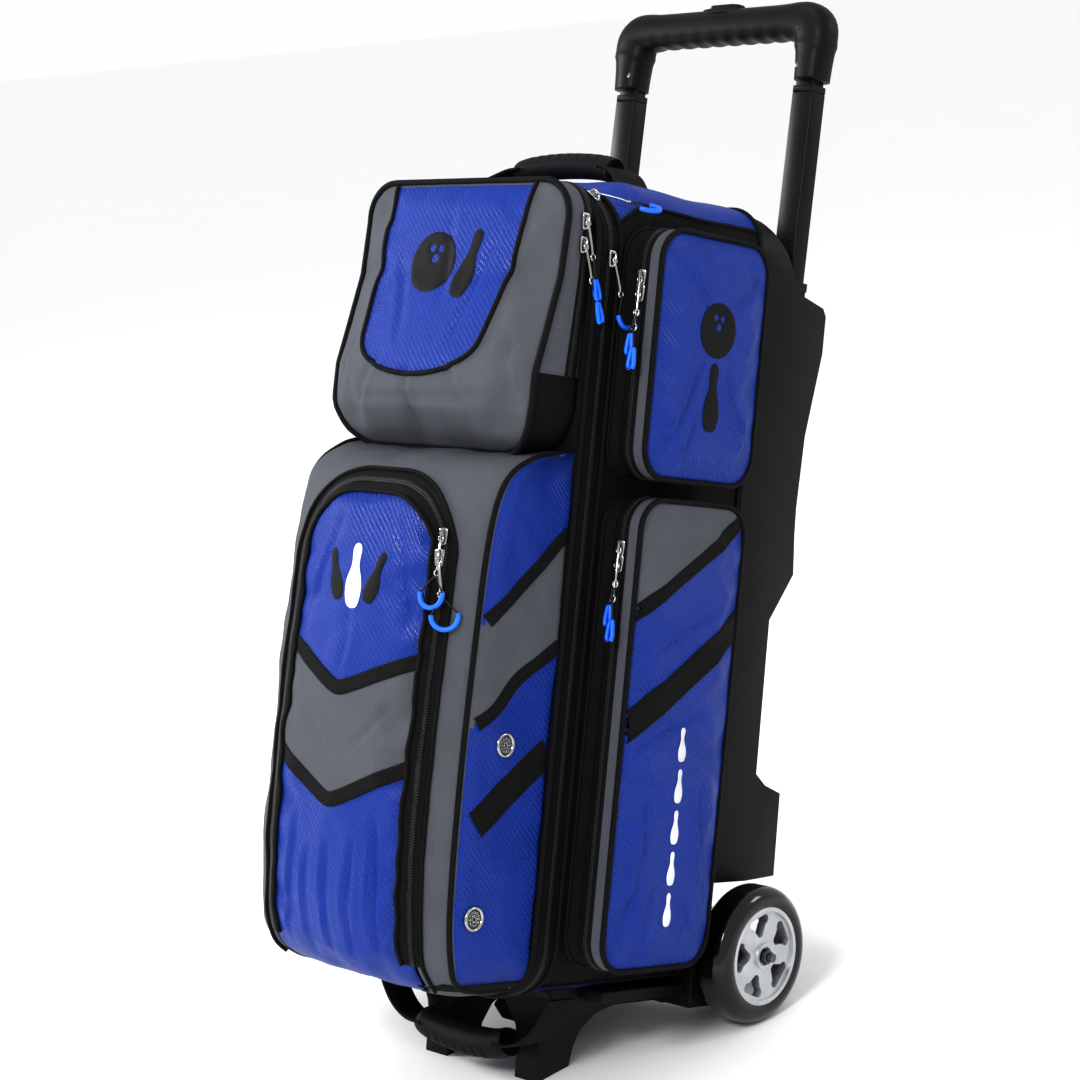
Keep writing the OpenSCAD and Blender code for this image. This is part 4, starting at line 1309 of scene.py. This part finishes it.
def grab_handle(word, grip_path, strap_path, grip_r, notch, flip):
    C = resample(soften(grip_path, 3), step=2.2)
    N = transported(C, (0, 0, 1))
    half = len(C) / 2
    rings = []
    T = tangents(C)
    S = np.cross(T, N)
    for i, c in enumerate(C):
        k = abs(i - half) / half
        swell = 1 + 0.05 * math.cos(k * math.pi / 2) - 0.10 * max(0, k - 0.93) / 0.07
        ring = []
        for t in np.linspace(0, 2 * math.pi, 20, endpoint=False):
            r = grip_r * swell
            up = math.sin(t) * (1 if not flip else -1)
            groove = 0.0
            if k < 0.72 and up > 0.15:
                ridge = max(0.0, math.cos(i * 2 * math.pi / 5.0)) ** 3
                groove = notch * ridge * min(1, (up - 0.15) * 2.2)
            ring.append(c + S[i] * (r - groove) * 1.12 * math.cos(t) + N[i] * (r - groove) * math.sin(t))
        rings.append(ring + [ring[0]])
    P = np.array(rings)
    v, f, c_, t = grid_faces(P)
    f = [q[::-1] for q in f]
    for row, turn in ((0, 1), (len(C) - 1, -1)):
        cap = [row * 21 + j for j in range(20)][::turn]
        f.append(cap)
        c_.append([(0.0, 0.0)] * 20)
        t.append(0)
    piece(f"{word}_grip", v, f, "chassis", "grip_rubber", "grip_rubber", c_, t,
          replaces=f"{word}_handle_grip")
    parts = []
    for side in (1, -1):
        path = [(side * x, y, z) for x, y, z in strap_path]
        parts.append(strap(path, 32))
    v, f, c_, t = join(parts)
    piece(f"{word}_straps", v, f, "chassis", "webbing", "black_strap", c_, t,
          replaces=f"{word}_handle_webbing")


def handles():
    top_grip = [(-57, 76, 729), (-40, 76, 733), (0, 76, 735), (40, 76, 733), (57, 76, 729)]
    grab_handle("top", top_grip, [(50, 76, 731), (62, 75, 730), (76, 71, 724), (92, 60, 713),
                                  (106, 50, 704.5),
                                  (116, 42, 695), (123.5, 36, 680), (125.5, 34, 668)], 11.2, 1.5, False)
    low_grip = [(-54, 48, -52), (-38, 48, -58), (0, 48, -61), (38, 48, -58), (54, 48, -52)]
    grab_handle("bottom", low_grip, [(46, 48, -54), (64, 48, -54), (84, 48, -44), (100, 48, -24),
                                     (110, 48, -3)],
                13.2, 1.8, True)


HANDLE_TOP = np.array((0, 278, 833.0))
HANDLE_TILT = math.radians(1.91)


def handle_frame(p):
    """Points in the telescopic handle's own line, put into the bag frame."""
    p = np.asarray(p, float)
    c, s = math.cos(HANDLE_TILT), math.sin(HANDLE_TILT)
    turned = [p[..., 0], p[..., 1] * c + p[..., 2] * s, -p[..., 1] * s + p[..., 2] * c]
    return np.stack(turned, -1) + HANDLE_TOP


def grip():
    """The moulded grip: two legs and a bar in one run, with finger waves under the bar."""
    bar_z, r, sides = 66, 17.2, 24
    path = [(-112, 0, 11), (-112, 0, 30), (-112, 0, 50), (-110, 0, 62), (-99, 0, 68), (-80, 0, 68),
            (80, 0, 68), (99, 0, 68), (110, 0, 62), (112, 0, 50), (112, 0, 30), (112, 0, 11)]
    C = resample(soften(path, 3), step=2.5)
    T = tangents(C)
    Y = np.array((0, 1.0, 0))
    P = []
    for c, t in zip(C, T):
        N = np.cross(t, Y)
        N /= np.linalg.norm(N)
        leg = max(0.0, (52 - c[2]) / 40)
        corner = math.exp(-((abs(c[0]) - 108) ** 2 + (c[2] - 58) ** 2) / 400)
        wide, deep = r + 3.4 * corner - 1.6 * min(1, leg), r * (0.98 - 0.06 * min(1, leg))
        collar = 1.0 + 0.05 * (math.exp(-((c[2] - 44) / 3.0) ** 2) if abs(c[0]) > 100 else 0)
        under_bar = abs(c[0]) < 82 and c[2] > 55
        wave = 0.75 * (1 + math.cos(c[0] * 2 * math.pi / 19.0)) if under_bar else 0.0
        ring = []
        for a in np.linspace(0, 2 * math.pi, sides, endpoint=False):
            ca, sa = math.cos(a), math.sin(a)
            sq = (abs(ca) ** 2.6 + abs(sa) ** 2.6) ** (-1 / 2.6)
            inward = 1 if sa * np.sign(N[2] if abs(N[2]) > 0.5 else 1) < -0.2 else 0
            rr = sq * collar
            ring.append(c + Y * deep * rr * ca + N * (wide * rr - wave * inward) * sa)
        P.append(ring + [ring[0]])
    P = np.array(P)
    v, f, cc, t = grid_faces(P, out=(0, 1, 0))
    for row, turn in ((0, 1), (len(C) - 1, -1)):
        f.append([row * (sides + 1) + j for j in range(sides)][::turn])
        cc.append([(0.0, 0.0)] * sides)
        t.append(0)
    # A raised oval frame round the button
    frame_pts = resample(soften([(-27, -12), (27, -12), (27, 12), (-27, 12)], 3, closed=True),
                         n=48, closed=True)
    F = []
    for grow, h in ((2.5, 14.0), (0.5, 19.2), (-2.5, 19.6), (-4.6, 18.2), (-4.6, 12.0)):
        q = frame_pts + loop_normals(frame_pts) * grow
        F.append(np.stack([q[:, 0], q[:, 1], np.full(len(q), bar_z + h)], 1))
    F = np.array(F).transpose(1, 0, 2)
    fv, ff, fc, ft = grid_faces(F, closed=True, out=(0, 1, 0.3))
    v, f, cc, t = join([(v, f, cc, t), (fv, ff, fc, ft)])
    piece("telescopic_grip", handle_frame(v), f, "handle_inner", "grip_plastic", "grip_plastic", cc, t,
          replaces="grip")


# ---------------------------------------------------------------- zip sliders
def local_frame(along, out):
    a = np.asarray(along, float)
    a = a / np.linalg.norm(a)
    n = np.asarray(out, float) - a * np.dot(a, out)
    n = n / np.linalg.norm(n)
    return np.stack([np.cross(a, n), a, n])


def plate(outline, h0, h1, inset=0.5):
    """A flat plate with eased edges from a closed outline of (side, along) points."""
    O = np.asarray(outline, float)
    N = loop_normals(O)
    rows = [(O - N * inset * 1.2, h0), (O, h0 + inset), (O, h1 - inset), (O - N * inset, h1),
            (O - N * inset * 3, h1 + 0.01)]
    P = np.array([np.concatenate([q, np.full((len(q), 1), h)], 1) for q, h in rows]).transpose(1, 0, 2)
    v, f, c, t = grid_faces(P, closed=True, out=(0, 0, 1))
    m = P.shape[1]
    top = [i * m + m - 1 for i in range(len(O))]
    return v, f + [top], c + [[(0.0, 0.0)] * len(top)], t + [0]


def tube_path(path, r, tag, first=(0, 0, 1), sides=7, rounds=2, step=1.6, flat=1.0):
    C = resample(soften(path, rounds), step=step)
    return sweep(C, transported(C, first), circle(r, sides, flat), ring=True, tag=tag, caps=True)


def slider_parts(hang, kind, swing=0.0, lift=0.0):
    """One slider in its own frame: x across the zip, y up the zip, z out. hang is the way down."""
    body = soften([(-4.6, 6.5), (-3.6, 7.5), (3.6, 7.5), (4.6, 6.5), (4.0, -2), (3.2, -7.5),
                   (-3.2, -7.5), (-4.0, -2)], 2, closed=True)
    parts = [plate(resample(body, n=28, closed=True)[::-1], 0.4, 2.8)]
    parts.append(tube_path([(0, 6, 2.2), (0, 5.2, 5.2), (0, 0, 6.2), (0, -5.2, 5.2), (0, -6, 2.2)], 1.15,
                           0, (1, 0, 0)))
    hang = np.asarray(hang, float)
    hang /= np.linalg.norm(hang)
    out = np.array((0, 0, 1.0))
    side = np.cross(hang, out)
    side /= max(np.linalg.norm(side), 1e-9)
    out = np.cross(side, hang)
    root = np.array((0, 1.0, 4.2)) + out * lift

    def at(a, s, o):
        return root + hang * a + side * s + out * o

    # The tab: a ring round the bridge, a slim bar and a ring at its foot
    ring = [at(2.6 - 2.6 * math.cos(t), 2.4 * math.sin(t), 0.4) for t in np.linspace(0, 2 * math.pi, 13)]
    parts.append(tube_path(ring, 0.85, 0, out))
    parts.append(tube_path([at(5, 0, 0.4), at(12, 0.3, 0.8), at(22, -0.2, 0.9), at(29, 0, 0.6)], 1.5, 0,
                           out, flat=0.6))
    foot = [at(31.5 - 2.8 * math.cos(t), 2.6 * math.sin(t), 0.5) for t in np.linspace(0, 2 * math.pi, 13)]
    parts.append(tube_path(foot, 0.95, 0, out))
    if kind == "loop":
        mid = at(50, swing, 1.0)
        arc = [mid + hang * 11 * math.cos(t) + side * 11.5 * math.sin(t)
               for t in np.linspace(-1.75, 1.75, 22)]
        parts.append(tube_path(arc, 2.2, 2, out, sides=9))
        parts.append(tube_path([arc[0], at(40, swing * 0.6 - 5, 1.4), at(33, 0, 1.2),
                                at(40, swing * 0.6 + 5, 1.4), arc[-1]], 0.75, 1, out))
    else:
        for s in (-0.9, 0.9):
            parts.append(tube_path([at(33, s * 0.6, 1.0), at(42, s + swing * 0.5, 1.2),
                                    at(52, s * 1.4 + swing, 1.2)], 0.75, 1, out))
        top = at(50, swing, 1.2)
        for s in (-1, 1):
            parts.append(tube_path([top + side * s * 0.8, top + hang * 7 + side * s * 2.0,
                                    top + hang * 15 + side * s * 2.7,
                                    top + hang * 18 + side * s * 1.5], 2.0, 2, out, sides=9, flat=1.15))
    return parts


def slider(name, node, body, at, along, out, kinds=("drop",), spread=14.0, swings=(0.0,), lean_out=0.0):
    """Zip sliders at a place on the bag; each hangs down under its own weight."""
    parts = []
    F = local_frame(along, out)
    for k, kind in enumerate(kinds):
        hang = DOWN @ F.T
        hang[2] = max(hang[2], 0.0) * 0.2 + lean_out + 0.04 * k
        for v, f, c, t in slider_parts(hang, kind, swings[k % len(swings)], lift=0.6 * k):
            shift = np.array((0, -spread * k, 0))
            parts.append(((v + shift) @ F + np.asarray(at, float), f, c, t))
    v, f, c, t = join(parts)
    return piece(name, v, f, body, "zip_metal", ["zip_chrome", "cord_black", "pull_blue"], c, t,
                 replaces=node)


def sliders(low_skin):
    slider("main_zip_slider_top", "main_slider_upper", "main_slider_a", (104, 0, 693), (-0.8, 0, 0.6),
           (0.6, 0, 0.8),
           kinds=("loop",), swings=(4,), lean_out=0.25)
    slider("main_zip_slider_side", "main_slider_lower", "main_slider_b", (HALF_W + 1.5, 0, 640),
           (0, 0, 1), (1, 0, 0),
           kinds=("loop",), swings=(-3,), lean_out=0.1)
    x = 121
    slider("top_zip_slider_high", "top_front_slider_upper", "top_front_slider_a", (x + 1.5, -29, 668),
           (0, 0, 1), (1, 0, 0),
           kinds=("drop",), swings=(2,), lean_out=0.05)
    slider("top_zip_slider_low", "top_front_slider_lower", "top_front_slider_b", (x + 1.5, -29, 648),
           (0, 0, 1), (1, 0, 0),
           kinds=("drop",), swings=(-2,), lean_out=0.08)
    for word, z, node in (("high", 392, "upper"), ("low", 374, "lower")):
        at, up = low_skin.lay([(82, -180, z)], (0, 1, 0))
        letter = "a" if word == "high" else "b"
        slider(f"low_zip_slider_{word}", f"low_front_slider_{node}", f"low_front_slider_{letter}",
               at[0] + up[0] * 1.8,
               (0, 0, 1), up[0], kinds=("loop",), swings=(3 if word == "high" else -2,), lean_out=0.1)
    for level, box in (("upper", UPPER_BOX), ("lower", LOWER_BOX)):
        for side, word in ((1, "right"), (-1, "left")):
            slider(f"{level}_zip_slider_{word}", f"{level}_pocket_slider_{word}",
                   f"{level}_slider_{word}",
                   (side * (SIDE_SPLIT + 1), box[0] - 1.2, box[3] - 45), (0, 0, 1), (side * 0.2, -1, 0),
                   kinds=("drop", "drop"), spread=13, swings=(3, -2), lean_out=0.12)


# ---------------------------------------------------------------- inside the compartment
def inside_parts():
    top_z, wall, div = BODY_H + CROWN, 4, 8
    bay = (top_z - 2 * wall - 2 * div) / 3
    parts = []
    for i in (1, 2):
        z = wall + i * bay + (i - 1) * div + div / 2
        a, b, u, v = patch(2 * (HALF_W - wall) - 2, BODY_D - 32, 20, 20, 26, 20)
        puff = 3.6 * ((1 - np.abs(u) ** 6) * (1 - np.abs(v) ** 6))
        for sign in (1, -1):
            P = np.stack([a, b + (30 + BODY_D) / 2, z + sign * (0.4 + puff)], 2)
            parts.append(grid_faces(P, out=(0, 0, sign)))
    v, f, c, t = join(parts)
    obj = piece("padded_dividers", v, f, "chassis", "divider_fabric", "lining", c, t,
                replaces="ball_dividers")
    parts = []
    for i in range(3):
        z = wall + bay / 2 + i * (bay + div)
        prof = [(92, 0.2), (91.5, -9), (88, -13.5), (82, -15), (74, -14.4), (66, -11), (56, -7.4),
                (44, -3.4), (38, -1), (37, 0.2)]
        parts.append(disc_rings(np.array((0, BODY_D, z)), (0, 1, 0), prof, 56))
    v, f, c, t = join(parts)
    obj = piece("foam_ball_cups", v, [q[::-1] for q in f], "chassis", "foam", "foam_dark", c, t,
                replaces="ball_cups")


# ---------------------------------------------------------------- carried-over CAD parts
CAD_LOOKS = {
    "shell_plastic": "shell_plastic", "steel": "screw_steel", "tube": "tube_coat",
    "grip_plastic": "grip_plastic",
    "rim": "rim_silver", "tyre": "tyre_gloss", "grip_rubber": "grip_rubber", "webbing": "black_strap",
    "zip_metal": "zip_chrome", "black_fabric": "black_canvas", "divider_fabric": "lining",
    "foam": "foam_dark",
    "blue_fabric": "blue_twill", "grey_fabric": "grey_heather"}
BEVELS = {"back_shell": 1.6, "stand_leg_left": 2.2, "stand_leg_right": 2.2, "stand_plate": 1.0,
          "stand_brace": 2.0,
          "axle_housing": 1.5, "sleeve_collars": 0.8, "outer_tube_left": 1.3, "outer_tube_right": 1.3,
          "inner_tube_left": 1.0, "inner_tube_right": 1.0, "outer_tube_caps": 1.0,
          "rim_left": 1.0, "rim_right": 1.0,
          "grip_button": 1.0, "axle_nuts": 0.5, "shell_screws": 0.5, "grip_screws": 0.4}


def dress_cad():
    slot_of = {s["node"]: s["material_slot"] for s in frame["record"]["subparts"]}
    for name, obj in frame["nodes"].items():
        obj.data.materials.clear()
        obj.data.materials.append(MATS[CAD_LOOKS[slot_of[name]]])
        if name in BEVELS:
            weld = obj.modifiers.new("weld", "WELD")
            weld.merge_threshold = 0.00001
            bev = obj.modifiers.new("edges", "BEVEL")
            bev.width, bev.segments, bev.limit_method = BEVELS[name] * MM, 3, "ANGLE"
            bev.angle_limit = math.radians(32)
            bev.harden_normals = True
            smooth_normals(obj)


# ---------------------------------------------------------------- stage
def area_light(name, at, aim, size, power):
    data = bpy.data.lights.new(name, "AREA")
    data.size, data.energy = size, power
    obj = bpy.data.objects.new(name, data)
    obj.location = at
    obj.rotation_euler = (Vector(aim) - Vector(at)).to_track_quat("-Z", "Y").to_euler()
    bpy.context.scene.collection.objects.link(obj)


def stage():
    mesh = bpy.data.meshes.new("floor")
    s = 60.0
    mesh.from_pydata([(-s, -s, 0), (s, -s, 0), (s, s, 0), (-s, s, 0)], [], [(0, 1, 2, 3)])
    floor = bpy.data.objects.new("floor", mesh)
    bpy.context.scene.collection.objects.link(floor)
    n = Nodes("floor_paper")
    shade = n.ramp(n.noise(n.coords("Object", 1.0), 3.0), ((0.3, 0.96), (0.7, 0.97)))
    n.link(shade, n.bsdf.inputs["Base Color"])
    floor.data.materials.append(n.finish(0.9))
    sky = bpy.data.worlds.new("studio")
    bpy.context.scene.world = sky
    sky.use_nodes = True
    sky.node_tree.nodes["Background"].inputs[0].default_value = (0.99, 0.995, 1.0, 1)
    sky.node_tree.nodes["Background"].inputs[1].default_value = 1.0
    area_light("key", (1.1, -2.9, 2.6), (0, 0, 0.45), 0.7, 70)
    area_light("fill", (-2.7, -1.3, 1.5), (0, 0, 0.40), 0.7, 62)
    area_light("rim", (2.2, 2.2, 1.8), (0, 0, 0.5), 0.8, 16)
    area_light("top", (-0.3, -0.2, 3.0), (0, 0, 0.4), 1.2, 12)
    bpy.context.scene.view_settings.view_transform = "Standard"
    bpy.context.scene.view_settings.gamma = 0.72


# ---------------------------------------------------------------- build
soft_body()
main_zip()
up_skin, side_skin = side_pockets()
lid()
top_skin, TOP_G, TOP_C, TOP_N = top_pocket()
top_gussets(TOP_G, TOP_C, TOP_N)
LOW_SHELL = low_pocket()
low_skin = Skin(LOW_SHELL)
panel_skin = low_panel(LOW_SHELL)
low_side_bands(low_skin)
vents(low_skin)
handles()
grip()
sliders(panel_skin)
inside_parts()
emblems(top_skin, panel_skin, up_skin, side_skin)
dress_cad()
stage()
